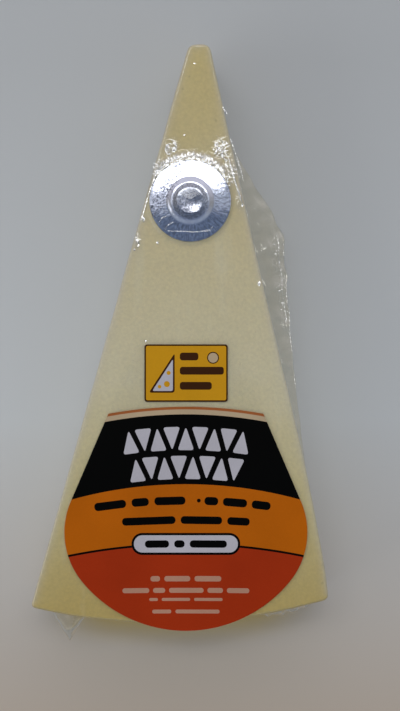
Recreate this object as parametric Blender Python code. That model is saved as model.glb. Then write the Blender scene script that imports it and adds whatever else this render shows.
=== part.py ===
"""A retail wedge of hard sheep's-milk cheese, shrink-wrapped in clear film.

Metres, +Z up. The wedge lies on its lower cut face with the labelled face up and
its nose towards +Y. It is drawn from the point where its two long cuts would meet,
near the axis of the cheese wheel, and moved at the end so that the origin is the
middle of its footprint, on the surface it lies on.
"""

import math

import bmesh
import bpy
from mathutils import Matrix, Vector

# ---------------------------------------------------------------- the wedge
THICKNESS = 0.032  # between the two flat faces
LEFT_CUT_ANGLE = math.radians(15.7)  # each long cut, measured from -Y
RIGHT_CUT_ANGLE = math.radians(12.1)
LEFT_CUT_BELLY = 0.0  # how far each cut swells out
RIGHT_CUT_BELLY = 0.0012
RIGHT_CUT_SHIFT = 0.0004  # the right cut lies this much further out than its line
BELLY_TO_RIND = 3.0  # a higher power moves the fullest place towards the rind
NOSE_CUT = 0.0095  # the nose is cut off square this far from the meeting point
WHEEL_RADIUS = 0.1400  # the rind is part of the wheel's rim
WHEEL_AXIS = Vector((-0.0083, -0.0040))  # the cuts miss the wheel's axis by this
NOSE_ROUND = 0.0021  # length of edge taken by each rounded corner, in plan
RIND_ROUND = 0.0015
EDGE_ROUND = 0.0008  # radius of the film pulled over the long edges
EDGE_STEPS = 4
CUT_STEPS = 14
RIND_STEPS = 26
CORNER_STEPS = 6

# --------------------------------------------------- loose film of the wrap
FILM_THICK = 0.0007
FILM_ROOT = 0.0012  # how far each flap is sunk into the wedge
SEAM_TOP_Y = -0.0226  # the seam flap along the right cut: top, widest, lower end
SEAM_WIDEST_Y = -0.0562
SEAM_END_Y = -0.1155
SEAM_WIDTH = 0.0077
SEAM_RISE = 1.3  # how slowly it widens above its widest place
SEAM_FALL = 1.35  # how quickly it narrows below it
SEAM_HEIGHT = 0.0170  # of its root above the ground
SEAM_DROOP = 0.0025
SEAM_PLEAT = 0.0009  # height and count of the pleats along its free edge
SEAM_PLEATS = 11
SEAM_STEPS = 66
EAR_X = -0.0310  # folded ear on the rind side, left of the middle
EAR_WIDTH = 0.0085
EAR_LENGTH = 0.0073
EAR_PEAK = 0.58  # where along its foot the point stands
EAR_HEIGHT = 0.0240
EAR_DROOP = 0.0030
EAR_STEPS = 12
TUCK_X = 0.0205  # gathered film on the rind side, right of the middle
TUCK_WIDTH = 0.0130
TUCK_LENGTH = 0.0022
TUCK_HEIGHT = 0.0240
TUCK_DROOP = 0.0012
TUCK_PLEAT = 0.0006
TUCK_PLEATS = 5
TUCK_STEPS = 30

# ---------------------------------------------------------------- the label
TOUCH_GAP = 0.0003  # between pieces that touch
LABEL_THICK = 0.0003
LABEL_MIDDLE_X = -0.0032
LABEL_LOW_Y = -0.1457  # its round lower edge hangs just past the rind
LABEL_HEIGHT = 0.0675
LOBE_RADIUS = 0.0311
SIDE_LEAN = math.radians(23.2)
SIDE_AT_X = 0.0188  # the slanted sides pass through this half width ...
SIDE_AT_Y = 0.0484  # ... at this height above the label's lower edge
SHOULDER_RADIUS = 0.0180
LABEL_TOP_ROUND = 0.0020
LOBE_STEPS = 34
SHOULDER_STEPS = 9

# ------------------------------------------------------------ the foil seal
SEAL_PLACE = (-0.0022, -0.0460)
SEAL_RADIUS = 0.0095
SEAL_THICK = 0.00025
SEAL_CROWN = 0.0006  # the whole disc swells this much towards its middle
SEAL_LEDGE_RADIUS = 0.0056  # a low dome on a ledge is pressed into its middle
SEAL_LEDGE_HEIGHT = 0.00034
SEAL_LEDGE_SLOPE = 0.0012  # width of the ledge's sloping side
SEAL_DOME_HEIGHT = 0.00030
SEAL_DOME_RADIUS = 0.0044
SEAL_DOME_FLAT = 0.0010
SEAL_DISH_DEPTH = 0.00032  # a shallow dish beside the dome's centre
SEAL_DISH_REACH = 0.0024
SEAL_DISH_OFFSET = Vector((0.00135, 0.0))
SEAL_TURNS = 48
SEAL_RINGS = 30


def clear_scene():
    for obj in list(bpy.data.objects):
        bpy.data.objects.remove(obj, do_unlink=True)


def principled(name, color, roughness, metallic=0.0, alpha=1.0):
    """A material with one Principled BSDF."""
    material = bpy.data.materials.new(name)
    material.use_nodes = True
    shader = material.node_tree.nodes["Principled BSDF"]
    shader.inputs["Base Color"].default_value = (*color, 1.0)
    shader.inputs["Roughness"].default_value = roughness
    shader.inputs["Metallic"].default_value = metallic
    shader.inputs["Alpha"].default_value = alpha
    material.diffuse_color = (*color, alpha)
    return material


def object_from(bm, name, material, smooth_angle=35.0):
    """Turn a bmesh into a named object that is shaded smooth up to an angle."""
    bmesh.ops.recalc_face_normals(bm, faces=bm.faces)
    mesh = bpy.data.meshes.new(name)
    bm.to_mesh(mesh)
    bm.free()
    mesh.materials.append(material)
    mesh.shade_smooth()
    mesh.set_sharp_from_angle(angle=math.radians(smooth_angle))
    obj = bpy.data.objects.new(name, mesh)
    bpy.context.scene.collection.objects.link(obj)
    return obj


# ------------------------------------------------------------ plan outlines
def smoothstep(t):
    t = min(1.0, max(0.0, t))
    return t * t * (3.0 - 2.0 * t)


def cut_point(angle, side, belly, distance, length):
    """A point of a long cut, at a distance from where the cuts would meet."""
    along = Vector((side * math.sin(angle), -math.cos(angle)))
    outward = Vector((side * math.cos(angle), math.sin(angle)))
    share = (distance / length) ** BELLY_TO_RIND
    shift = RIGHT_CUT_SHIFT if side > 0 else 0.0
    return along * distance + outward * (shift + 4.0 * belly * share * (1.0 - share))


def cut_length(angle, side):
    """How far the straight cut runs before it meets the rim of the wheel."""
    along = Vector((side * math.sin(angle), -math.cos(angle)))
    middle = along.dot(WHEEL_AXIS)
    return middle + math.sqrt(middle**2 - WHEEL_AXIS.length_squared + WHEEL_RADIUS**2)


def cut_line(angle, side, belly):
    """Points of a long cut from the nose to the rim."""
    length = cut_length(angle, side)
    start = NOSE_CUT / math.cos(angle)
    steps = [start + (length - start) * i / CUT_STEPS for i in range(CUT_STEPS + 1)]
    return [cut_point(angle, side, belly, distance, length) for distance in steps]


def rim_line(start, end):
    """Points of the wheel's rim between the ends of the two cuts."""
    first = math.atan2(start.y - WHEEL_AXIS.y, start.x - WHEEL_AXIS.x)
    last = math.atan2(end.y - WHEEL_AXIS.y, end.x - WHEEL_AXIS.x)
    angles = [first + (last - first) * i / RIND_STEPS for i in range(RIND_STEPS + 1)]
    return [WHEEL_AXIS + WHEEL_RADIUS * Vector((math.cos(a), math.sin(a))) for a in angles]


def trimmed(line, start_cut, end_cut):
    """The line without a given length at each of its ends."""
    line = shortened(line, start_cut)
    return shortened(line[::-1], end_cut)[::-1]


def shortened(line, cut):
    """The line without a given length at its start."""
    for i in range(len(line) - 1):
        step = (line[i + 1] - line[i]).length
        if step > cut:
            return [line[i].lerp(line[i + 1], cut / step), *line[i + 1 :]]
        cut -= step
    return line[-1:]


def round_corner(before, corner, after, steps):
    """Points of a smooth curve that rounds a corner, without its two ends."""
    points = []
    for i in range(1, steps):
        t = i / steps
        points.append(before.lerp(corner, t).lerp(corner.lerp(after, t), t))
    return points


def wedge_outline():
    """The plan of the wedge, counter-clockwise from the nose's left corner."""
    left = cut_line(LEFT_CUT_ANGLE, -1, LEFT_CUT_BELLY)
    right = cut_line(RIGHT_CUT_ANGLE, 1, RIGHT_CUT_BELLY)[::-1]
    rim = rim_line(left[-1], right[0])
    nose = [right[-1], left[0]]
    sides = [
        (left, NOSE_ROUND, RIND_ROUND),
        (rim, RIND_ROUND, RIND_ROUND),
        (right, RIND_ROUND, NOSE_ROUND),
        (nose, NOSE_ROUND, NOSE_ROUND),
    ]
    runs = [trimmed(*side) for side in sides]
    outline = []
    for i, run in enumerate(runs):
        following = runs[(i + 1) % len(runs)]
        outline += run
        outline += round_corner(run[-1], sides[i][0][-1], following[0], CORNER_STEPS)
    return outline


def inset(outline, amount):
    """The outline moved inwards along its normals."""
    moved = []
    for i, point in enumerate(outline):
        along = outline[(i + 1) % len(outline)] - outline[i - 1]
        inward = Vector((-along.y, along.x)).normalized()
        moved.append(point + inward * amount)
    return moved


# ----------------------------------------------------------------- meshes
def stack_of_rings(rings):
    """A closed body from rings of equal length, capped at both ends."""
    bm = bmesh.new()
    loops = [[bm.verts.new(point) for point in ring] for ring in rings]
    count = len(loops[0])
    for lower, upper in zip(loops, loops[1:]):
        for i in range(count):
            k = (i + 1) % count
            bm.faces.new((lower[i], lower[k], upper[k], upper[i]))
    bm.faces.new(loops[0][::-1])
    bm.faces.new(loops[-1])
    return bm


def at_height(points, z):
    return [Vector((point.x, point.y, z)) for point in points]


def wrapped_body():
    """The wedge itself: two flat faces, upright sides and rounded long edges."""
    outline = wedge_outline()
    rings = []
    for i in range(EDGE_STEPS + 1):
        turn = math.pi / 2 * i / EDGE_STEPS
        pulled_in = EDGE_ROUND * (1.0 - math.sin(turn))
        height = EDGE_ROUND * (1.0 - math.cos(turn))
        rings.append((pulled_in, height))
    rings += [(pulled_in, THICKNESS - height) for pulled_in, height in rings[::-1]]
    return stack_of_rings([at_height(inset(outline, a), z) for a, z in rings])


def flap_ring(foot, outward, out, height, drop, lift):
    """A cross-section of a flap, from its root inside the wedge to its free edge.

    Where the flap ends its free edge stays a little inside the wedge.
    """
    half = Vector((0.0, 0.0, FILM_THICK / 2))
    reach = max(out, 0.0) - FILM_ROOT / 2 * math.exp(-out / FILM_ROOT)
    lower = []
    for share in (0.0, 0.5, 1.0):
        place = foot + outward * (share * (reach + FILM_ROOT) - FILM_ROOT)
        lower.append(Vector((*place, height - drop * share**2 + lift * share)) - half)
    return lower + [point + 2.0 * half for point in lower[::-1]]


def pleat(share, count, phase=0.0):
    """A wave that is uneven enough to look gathered by hand."""
    turn = 2.0 * math.pi * count * share + phase
    return 0.65 * math.sin(turn) + 0.35 * math.sin(1.73 * turn + 1.1)


def seam_width(y):
    """How far the seam flap stands out from the cut at a place along it."""
    if y > SEAM_WIDEST_Y:
        risen = (SEAM_TOP_Y - y) / (SEAM_TOP_Y - SEAM_WIDEST_Y)
        return SEAM_WIDTH * smoothstep(risen**SEAM_RISE)
    rest = (y - SEAM_END_Y) / (SEAM_WIDEST_Y - SEAM_END_Y)
    return SEAM_WIDTH * max(0.0, rest) ** SEAM_FALL


def seam_flap():
    """The seam of the wrap: a pleated flap of film along the right cut."""
    length = cut_length(RIGHT_CUT_ANGLE, 1)
    outward = Vector((math.cos(RIGHT_CUT_ANGLE), math.sin(RIGHT_CUT_ANGLE)))
    rings = []
    for i in range(SEAM_STEPS + 1):
        share = i / SEAM_STEPS
        y = SEAM_TOP_Y + (SEAM_END_Y - SEAM_TOP_Y) * share
        distance = -y / math.cos(RIGHT_CUT_ANGLE)
        foot = cut_point(RIGHT_CUT_ANGLE, 1, RIGHT_CUT_BELLY, distance, length)
        out = seam_width(y) * (1.0 + 0.05 * pleat(share, SEAM_PLEATS, 2.0))
        wide = seam_width(y) / SEAM_WIDTH
        lift = SEAM_PLEAT * wide * pleat(share, SEAM_PLEATS)
        rings.append(flap_ring(foot, outward, out, SEAM_HEIGHT, SEAM_DROOP * wide, lift))
    return stack_of_rings(rings)


def rim_flap(middle_x, width, length, height, droop, reach, wave, steps):
    """A flap on the rind: reach(share) is its shape and wave(share) its pleats."""
    rings = []
    for i in range(steps + 1):
        share = i / steps
        x = middle_x + width * (share - 0.5)
        rise = math.sqrt(WHEEL_RADIUS**2 - (x - WHEEL_AXIS.x) ** 2)
        outward = Vector(((x - WHEEL_AXIS.x) / WHEEL_RADIUS, -rise / WHEEL_RADIUS))
        foot = Vector((x, WHEEL_AXIS.y - rise))
        far = reach(share)
        rings.append(flap_ring(foot, outward, length * far, height, droop * far, wave(share) * far))
    return stack_of_rings(rings)


def ear_reach(share):
    """A triangle with its point near the middle."""
    return share / EAR_PEAK if share < EAR_PEAK else (1.0 - share) / (1.0 - EAR_PEAK)


def ear_flap():
    """The pointed ear that the folded film leaves on the rind side."""
    args = (EAR_X, EAR_WIDTH, EAR_LENGTH, EAR_HEIGHT, EAR_DROOP)
    return rim_flap(*args, ear_reach, lambda share: 0.0, EAR_STEPS)


def tuck_reach(share):
    return math.sin(math.pi * share) ** 0.6 * (0.8 + 0.2 * pleat(share, TUCK_PLEATS, 0.7))


def tuck_flap():
    """The short gathered tuck further along the rind side."""
    args = (TUCK_X, TUCK_WIDTH, TUCK_LENGTH, TUCK_HEIGHT, TUCK_DROOP)
    return rim_flap(*args, tuck_reach, lambda share: TUCK_PLEAT * pleat(share, TUCK_PLEATS), TUCK_STEPS)


def join(body, parts):
    """Union the parts into the body, apply it and remove the parts."""
    group = bpy.data.collections.new("joined_parts")
    for part in parts:
        bpy.context.scene.collection.objects.unlink(part)
        group.objects.link(part)
    bpy.context.scene.collection.children.link(group)
    union = body.modifiers.new("union", "BOOLEAN")
    union.operation = "UNION"
    union.operand_type = "COLLECTION"
    union.collection = group
    union.solver = "EXACT"
    graph = bpy.context.evaluated_depsgraph_get()
    joined = bpy.data.meshes.new_from_object(body.evaluated_get(graph))
    body.modifiers.clear()
    body.data = joined
    for part in parts:
        bpy.data.objects.remove(part, do_unlink=True)
    bpy.data.collections.remove(group)


def make_wrapped_wedge():
    film = principled("film_wrapped_cheese", (0.42, 0.37, 0.24), 0.35)
    body = object_from(wrapped_body(), "wrapped_wedge", film)
    flaps = [
        object_from(seam_flap(), "seam_flap", film),
        object_from(ear_flap(), "ear_flap", film),
        object_from(tuck_flap(), "tuck_flap", film),
    ]
    join(body, flaps)
    return body


# ------------------------------------------------------------------- label
def arc(centre, radius, start, end, steps):
    angles = [start + (end - start) * i / steps for i in range(steps + 1)]
    return [centre + radius * Vector((math.cos(a), math.sin(a))) for a in angles]


def label_right_half():
    """The label's right side from the foot of the lobe up to its top corner.

    The slanted side and the round lobe are both tangent to the shoulder arc, so the
    shoulder's centre is one radius inside the side and lies on a smaller circle round
    the lobe's centre.
    """
    lobe = Vector((0.0, LOBE_RADIUS))
    upward = Vector((-math.sin(SIDE_LEAN), math.cos(SIDE_LEAN)))
    inward = Vector((-math.cos(SIDE_LEAN), -math.sin(SIDE_LEAN)))
    base = Vector((SIDE_AT_X, SIDE_AT_Y)) + inward * SHOULDER_RADIUS - lobe
    half = base.dot(upward)
    reach = LOBE_RADIUS - SHOULDER_RADIUS
    slide = -half - math.sqrt(half**2 - base.length_squared + reach**2)
    shoulder = lobe + base + upward * slide
    towards = shoulder - lobe
    meets_lobe = math.atan2(towards.y, towards.x)
    points = arc(lobe, LOBE_RADIUS, -math.pi / 2, meets_lobe, LOBE_STEPS)
    points += arc(shoulder, SHOULDER_RADIUS, meets_lobe, SIDE_LEAN, SHOULDER_STEPS)[1:]
    top_x = SIDE_AT_X - (LABEL_HEIGHT - SIDE_AT_Y) * math.tan(SIDE_LEAN)
    corner = Vector((top_x, LABEL_HEIGHT))
    before = corner - upward * LABEL_TOP_ROUND
    after = corner - Vector((LABEL_TOP_ROUND, 0.0))
    return [*points, before, *round_corner(before, corner, after, CORNER_STEPS), after]


def label_outline():
    right = label_right_half()
    left = [Vector((-point.x, point.y)) for point in right[::-1]]
    place = Vector((LABEL_MIDDLE_X, LABEL_LOW_Y))
    return [point + place for point in [*right, *left[:-1]]]


def make_front_label():
    paper = principled("label_print", (0.33, 0.08, 0.01), 0.45)
    low = THICKNESS + TOUCH_GAP
    outline = label_outline()
    bm = stack_of_rings([at_height(outline, low), at_height(outline, low + LABEL_THICK)])
    return object_from(bm, "front_label", paper)


# -------------------------------------------------------------------- seal
def seal_height(x, y):
    """Height of the foil's upper face above its rim."""
    out = math.hypot(x, y)
    crown = SEAL_CROWN * (1.0 - (out / SEAL_RADIUS) ** 2)
    ledge = SEAL_LEDGE_HEIGHT * smoothstep((SEAL_LEDGE_RADIUS - out) / SEAL_LEDGE_SLOPE)
    dome = smoothstep((SEAL_DOME_RADIUS - out) / (SEAL_DOME_RADIUS - SEAL_DOME_FLAT))
    away = (Vector((x, y)) - SEAL_DISH_OFFSET).length
    dish = SEAL_DISH_DEPTH * math.exp(-((away / SEAL_DISH_REACH) ** 2))
    return crown + ledge + dome * (SEAL_DOME_HEIGHT - dish)


def make_foil_seal():
    foil = principled("seal_foil", (0.62, 0.66, 0.74), 0.25, metallic=1.0)
    low = THICKNESS + TOUCH_GAP
    bm = bmesh.new()

    def ring(radius, level):
        turns = [2.0 * math.pi * i / SEAL_TURNS for i in range(SEAL_TURNS)]
        flat = [Vector((radius * math.cos(a), radius * math.sin(a))) for a in turns]
        return [bm.verts.new((p.x + SEAL_PLACE[0], p.y + SEAL_PLACE[1], level(p))) for p in flat]

    loops = [ring(SEAL_RADIUS, lambda p: low)]
    for i in range(SEAL_RINGS):
        radius = SEAL_RADIUS * (1.0 - i / SEAL_RINGS)
        loops.append(ring(radius, lambda p: low + SEAL_THICK + seal_height(p.x, p.y)))
    for outer, inner in zip(loops, loops[1:]):
        for i in range(SEAL_TURNS):
            k = (i + 1) % SEAL_TURNS
            bm.faces.new((outer[i], outer[k], inner[k], inner[i]))
    centre = bm.verts.new((*SEAL_PLACE, low + SEAL_THICK + seal_height(0.0, 0.0)))
    for i in range(SEAL_TURNS):
        bm.faces.new((loops[-1][i], loops[-1][(i + 1) % SEAL_TURNS], centre))
    bm.faces.new(loops[0][::-1])
    return object_from(bm, "foil_seal", foil)


def centre_footprint(objects):
    """Move the meshes together so that the origin is the middle of their footprint."""
    points = [vertex.co for obj in objects for vertex in obj.data.vertices]
    middle = [(min(p[k] for p in points) + max(p[k] for p in points)) / 2 for k in (0, 1)]
    for obj in objects:
        obj.data.transform(Matrix.Translation((-middle[0], -middle[1], 0.0)))


clear_scene()
centre_footprint([make_wrapped_wedge(), make_front_label(), make_foil_seal()])
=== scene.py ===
# %% [markdown]
# # A wedge of pecorino romano in clear film
#
# The subject is a retail wedge of hard sheep's-milk cheese. It lies flat with its
# labelled face up, shrink-wrapped in clear film, with a printed label near the rind, a
# round embossed foil seal near the nose and a loose seam of film along one cut.
#
# The solids come packed, as a fixed frame. This script only dresses them: each plain
# solid is replaced by finer meshes that keep its form, with materials made of nodes.
# Loading the frame first means that every later piece can be placed from its sizes.

import math
import random

import bpy
import numpy as np
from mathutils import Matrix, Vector, geometry, noise


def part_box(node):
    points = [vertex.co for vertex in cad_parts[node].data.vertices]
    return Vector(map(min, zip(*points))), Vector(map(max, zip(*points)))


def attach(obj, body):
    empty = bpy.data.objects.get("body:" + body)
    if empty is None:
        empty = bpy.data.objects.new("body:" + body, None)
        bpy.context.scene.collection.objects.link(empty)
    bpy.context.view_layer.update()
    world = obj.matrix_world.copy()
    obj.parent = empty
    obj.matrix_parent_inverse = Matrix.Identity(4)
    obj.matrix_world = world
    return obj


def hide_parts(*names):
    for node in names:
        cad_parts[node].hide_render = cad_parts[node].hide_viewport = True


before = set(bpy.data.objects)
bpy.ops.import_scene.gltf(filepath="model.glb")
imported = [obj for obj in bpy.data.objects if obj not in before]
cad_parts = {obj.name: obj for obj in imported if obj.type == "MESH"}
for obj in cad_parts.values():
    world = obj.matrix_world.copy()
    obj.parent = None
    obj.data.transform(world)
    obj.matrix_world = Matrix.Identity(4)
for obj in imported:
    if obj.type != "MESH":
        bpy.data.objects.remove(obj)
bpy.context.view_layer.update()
BODY = "root"
MM = 0.001

# %% [markdown]
# ## One drawing for every piece
#
# The wedge was drawn from the point where its two long cuts would meet, and then moved so
# that the origin is the middle of its footprint. The same drawing is used here. Its
# place is found again from the seal, whose centre is known in both.

# %% Find where the drawing lies
SEAL_PLACE = Vector((-2.2, -46.0)) * MM
WHEEL_RADIUS = 140.0 * MM
WHEEL_AXIS = Vector((-8.3, -4.0)) * MM
seal_low, seal_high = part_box("foil_seal")
wedge_low, wedge_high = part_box("wrapped_wedge")
label_low, label_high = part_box("front_label")
seal_middle = (seal_low.xy + seal_high.xy) / 2
meeting_point = seal_middle - SEAL_PLACE
THICKNESS = wedge_high.z
print("the cuts would meet at, mm:", [round(k / MM, 2) for k in meeting_point])

# %% [markdown]
# ## The camera
#
# The photograph looks straight down on the labelled face. A camera set square to a face
# keeps its outline true, so the label's arcs and the round seal aren't squeezed. The
# lens follows from how many photo pixels one metre of that face covers.

# %% Set the camera over the face
PHOTO_WIDTH, PHOTO_HEIGHT = 400, 711
PIXELS_PER_METRE = 4310.0
SEAL_PIXEL = Vector((190.2, 200.9))
CAMERA_ABOVE_FACE = 0.5
SENSOR_WIDTH = 36.0

scene = bpy.context.scene
camera_data = bpy.data.cameras.new("camera")
camera = bpy.data.objects.new("camera", camera_data)
scene.collection.objects.link(camera)
middle_from_seal = Vector((PHOTO_WIDTH / 2 - SEAL_PIXEL.x, SEAL_PIXEL.y - PHOTO_HEIGHT / 2))
aim = seal_middle + middle_from_seal / PIXELS_PER_METRE
camera.location = (aim.x, aim.y, THICKNESS + CAMERA_ABOVE_FACE)
camera_data.sensor_width = SENSOR_WIDTH
camera_data.lens = SENSOR_WIDTH * CAMERA_ABOVE_FACE * PIXELS_PER_METRE / PHOTO_HEIGHT
camera_data.clip_start = 0.01
scene.camera = camera
scene.view_settings.view_transform = "Standard"
print("lens, mm:", round(camera_data.lens, 1))

# %% [markdown]
# ## Small helpers for node trees
#
# A finish is easier to read when each node takes one line. `fill` sets a node's sockets,
# each to a plain value or to what another node gives. What a node gives is written as a
# (node, output) pair, and the short helpers return such pairs, so one can feed the next.

# %% Helpers for materials
def fill(tree, node, sockets):
    for name, value in sockets.items():
        if isinstance(value, tuple) and isinstance(value[0], bpy.types.Node):
            tree.links.new(value[0].outputs[value[1]], node.inputs[name])
        else:
            node.inputs[name].default_value = value


def add(tree, kind, sockets, **settings):
    made = tree.nodes.new("ShaderNode" + kind)
    for name, value in settings.items():
        setattr(made, name, value)
    fill(tree, made, sockets)
    return made


def compute(tree, operation, *values, clamp=False):
    return add(tree, "Math", dict(enumerate(values)), operation=operation, use_clamp=clamp), "Value"


def measure(tree, operation, output, *values):
    """A Vector Math node."""
    return add(tree, "VectorMath", dict(enumerate(values)), operation=operation), output


def cloud(tree, place, scale, detail=2.0, roughness=0.5):
    sockets = {"Vector": place, "Scale": scale, "Detail": detail, "Roughness": roughness}
    return add(tree, "TexNoise", sockets), "Fac"


def remap(tree, value, low, high, to_low=0.0, to_high=1.0, kind="LINEAR"):
    sockets = {"Value": value, "From Min": low, "From Max": high, "To Min": to_low, "To Max": to_high}
    return add(tree, "MapRange", sockets, interpolation_type=kind), "Result"


def bumpy(tree, height, strength, distance):
    return add(tree, "Bump", {"Height": height, "Strength": strength, "Distance": distance}), "Normal"


def ramp(tree, value, stops):
    """A colour ramp from (place, (r, g, b)) stops."""
    made = add(tree, "ValToRGB", {"Fac": value})
    elements = made.color_ramp.elements
    while len(elements) < len(stops):
        elements.new(0.5)
    for element, (place, color) in zip(elements, stops):
        element.position = place
        element.color = (*color, 1.0)
    return made, "Color"


def blend(tree, share, first, second, kind="MIX"):
    """A mix of two colours, each plain or a pair."""
    colors = [c if isinstance(c[0], bpy.types.Node) else (*c, 1.0) for c in (first, second)]
    return add(tree, "Mix", {0: share, 6: colors[0], 7: colors[1]}, data_type="RGBA", blend_type=kind), 2


def mask(tree, name):
    return add(tree, "Attribute", {}, attribute_name=name), "Fac"


def shade(level):
    return (level, level, level)


def new_material(name):
    """A material with its tree, its shader and the place on the part."""
    material = bpy.data.materials.new(name)
    material.use_nodes = True
    tree = material.node_tree
    return material, tree, tree.nodes["Principled BSDF"], (add(tree, "TexCoord", {}), "Object")


def show_through(tree, share, shader, color=(1.0, 1.0, 1.0)):
    """Mix the shader with plain transparency. The share is how much of the shader shows."""
    clear = add(tree, "BsdfTransparent", {"Color": (*color, 1.0)}), "BSDF"
    mix = add(tree, "MixShader", {"Fac": share, 1: clear, 2: (shader, "BSDF")}), "Shader"
    fill(tree, tree.nodes["Material Output"], {"Surface": mix})


def new_group(name, inputs, outputs):
    """An empty node group with named sockets, and its two end nodes."""
    group = bpy.data.node_groups.new(name, "ShaderNodeTree")
    for way, sockets in (("INPUT", inputs), ("OUTPUT", outputs)):
        for socket, kind in sockets.items():
            group.interface.new_socket(socket, in_out=way, socket_type="NodeSocket" + kind)
    return group, group.nodes.new("NodeGroupInput"), group.nodes.new("NodeGroupOutput")


def use_group(tree, group, sockets):
    made = tree.nodes.new("ShaderNodeGroup")
    made.node_tree = group
    fill(tree, made, sockets)
    return made


print("helpers ready")

# %% [markdown]
# ## The floor and the light
#
# The photograph has a pale sheet under the wedge and soft light that comes from beyond
# the nose. The foil tells most about that light: its far half mirrors something bright
# and its near half something dim. So one large soft box with a brighter core hangs beyond
# the nose, just outside what a flat mirror would show the camera, and weaker boxes stand
# to the sides. One even dome would be simpler, but the film would look dull.

# %% Lay the floor
FLOOR_SIZE = 4.0
FLOOR_DEPTH = 0.2 * MM
# Painted light and shade: along Y the floor is brighter in a band across the middle, and warmer and darker
# towards the rind's end, as painted bounce light
FLOOR_PAINTED_LIGHT_STOPS = [
    (0.00, (0.620, 0.535, 0.440)),
    (0.45, (0.725, 0.755, 0.755)),
    (1.00, (0.625, 0.645, 0.640)),
]
# Painted bounce light: the floor's colour is warmed beside the rind, along the same arc
PAINTED_GLOW_TINT = (1.15, 0.93, 0.30)
PAINTED_GLOW_REACH = 11.0 * MM
PAINTED_GLOW_FADES, PAINTED_GLOW_IS_FULL = 14.0 * MM, 6.0 * MM  # heights over the foot of the wedge's plan


def floor_material():
    material, tree, shader, place = new_material("pale_floor")
    split = add(tree, "SeparateXYZ", {"Vector": place})
    # painted light and shade along Y
    tint = ramp(tree, remap(tree, (split, "Y"), -0.09, 0.07), FLOOR_PAINTED_LIGHT_STOPS)
    axis = (*(meeting_point + WHEEL_AXIS), 0.0)
    limits = (
        (measure(tree, "DISTANCE", "Value", place, axis), WHEEL_RADIUS + PAINTED_GLOW_REACH, WHEEL_RADIUS),
        ((split, "Y"), wedge_low.y + PAINTED_GLOW_FADES, wedge_low.y + PAINTED_GLOW_IS_FULL),
        (compute(tree, "ABSOLUTE", (split, "X")), wedge_high.x, wedge_high.x / 2),
    )
    beside, below, within = (remap(tree, *limit, kind="SMOOTHSTEP") for limit in limits)
    # painted bounce light: a warm glow in the floor's colour beside the rind
    painted_glow = compute(tree, "MULTIPLY", compute(tree, "MULTIPLY", beside, below), within)
    painted_floor_light = blend(tree, painted_glow, tint, PAINTED_GLOW_TINT, "MULTIPLY")
    bump = bumpy(tree, cloud(tree, place, 900.0, 3.0), 0.05, 0.1 * MM)
    fill(tree, shader, {"Base Color": painted_floor_light, "Normal": bump, "Roughness": 0.7})
    return material


floor_mesh = bpy.data.meshes.new("floor")
half = FLOOR_SIZE / 2
corners = [(-half, -half), (half, -half), (half, half), (-half, half)]
floor_mesh.from_pydata([(x, y, -FLOOR_DEPTH) for x, y in corners], [], [(0, 1, 2, 3)])
floor_mesh.materials.append(floor_material())
floor = bpy.data.objects.new("floor", floor_mesh)
scene.collection.objects.link(floor)
print("floor laid")

# %% Hang the lamps
SKY_DIM = (0.130, 0.165, 0.235)  # overhead, where the photographer leans over
# The rest of the room by its direction, from behind the rind (0) to beyond the nose (1)
SKY_STOPS = [
    (0.00, (0.230, 0.250, 0.275)),
    (0.22, (0.320, 0.365, 0.425)),
    (0.50, (0.275, 0.268, 0.255)),
    (0.82, (0.660, 0.640, 0.690)),
    (1.00, (0.560, 0.550, 0.570)),
]
DIM_TOWARDS = Vector((0.0, -0.14, 0.99))
DIM_INSIDE, DIM_OUTSIDE = math.radians(12), math.radians(38)
LAMP_HEIGHT = 5.0
# Left, right, near and far edge in degrees seen from the seal, and how bright it looks
LAMPS = {
    "far_box": (-18.0, 13.0, 9.7, 18.5, 4.5),
    "far_core": (-6.0, 2.0, 11.5, 14.0, 10.0),
    "left_box": (-29.0, -8.2, 0.0, 8.7, 0.50),
    "right_box": (7.6, 26.6, 0.0, 8.7, 0.25),
}


def soft_sky():
    """A pale room with a dim patch overhead, given by the angle from its middle."""
    world = bpy.data.worlds.new("soft_sky")
    world.use_nodes = True
    tree = world.node_tree
    place = add(tree, "TexCoord", {}), "Generated"
    split = add(tree, "SeparateXYZ", {"Vector": place})
    room = ramp(tree, remap(tree, (split, "Y"), -1.0, 1.0), SKY_STOPS)
    towards = measure(tree, "DOT_PRODUCT", "Value", place, DIM_TOWARDS.normalized())
    turn = remap(tree, towards, math.cos(DIM_INSIDE), math.cos(DIM_OUTSIDE))
    fill(tree, tree.nodes["Background"], {"Color": blend(tree, turn, SKY_DIM, room)})
    scene.world = world


def lamp(name, place, size, radiance):
    """A lamp given by how bright it looks, turned to the middle of the wedge."""
    data = bpy.data.lights.new(name, "AREA")
    data.shape = "RECTANGLE"
    data.size, data.size_y = size
    data.energy = radiance * math.pi * size[0] * size[1]
    made = bpy.data.objects.new(name, data)
    scene.collection.objects.link(made)
    made.location = place
    made.rotation_euler = Vector(place).to_track_quat("Z", "Y").to_euler()
    return made


def level_lamp(name, *edges, radiance):
    """A level lamp high over the seal, given by the angles of its edges."""
    x0, x1, y0, y1 = (math.tan(math.radians(edge)) * LAMP_HEIGHT for edge in edges)
    place = (seal_middle.x + (x0 + x1) / 2, seal_middle.y + (y0 + y1) / 2, THICKNESS + LAMP_HEIGHT)
    lamp(name, place, (x1 - x0, y1 - y0), radiance).rotation_euler = (0.0, 0.0, 0.0)


soft_sky()
for lamp_name, (*edges, brightness) in LAMPS.items():
    level_lamp(lamp_name, *edges, radiance=brightness)
lamp("near_fill", (-0.15, -0.95, 0.70), (0.8, 0.4), 0.4)
lamp("left_fill", (-0.45, -0.15, 0.35), (0.4, 0.3), 0.9)

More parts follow.
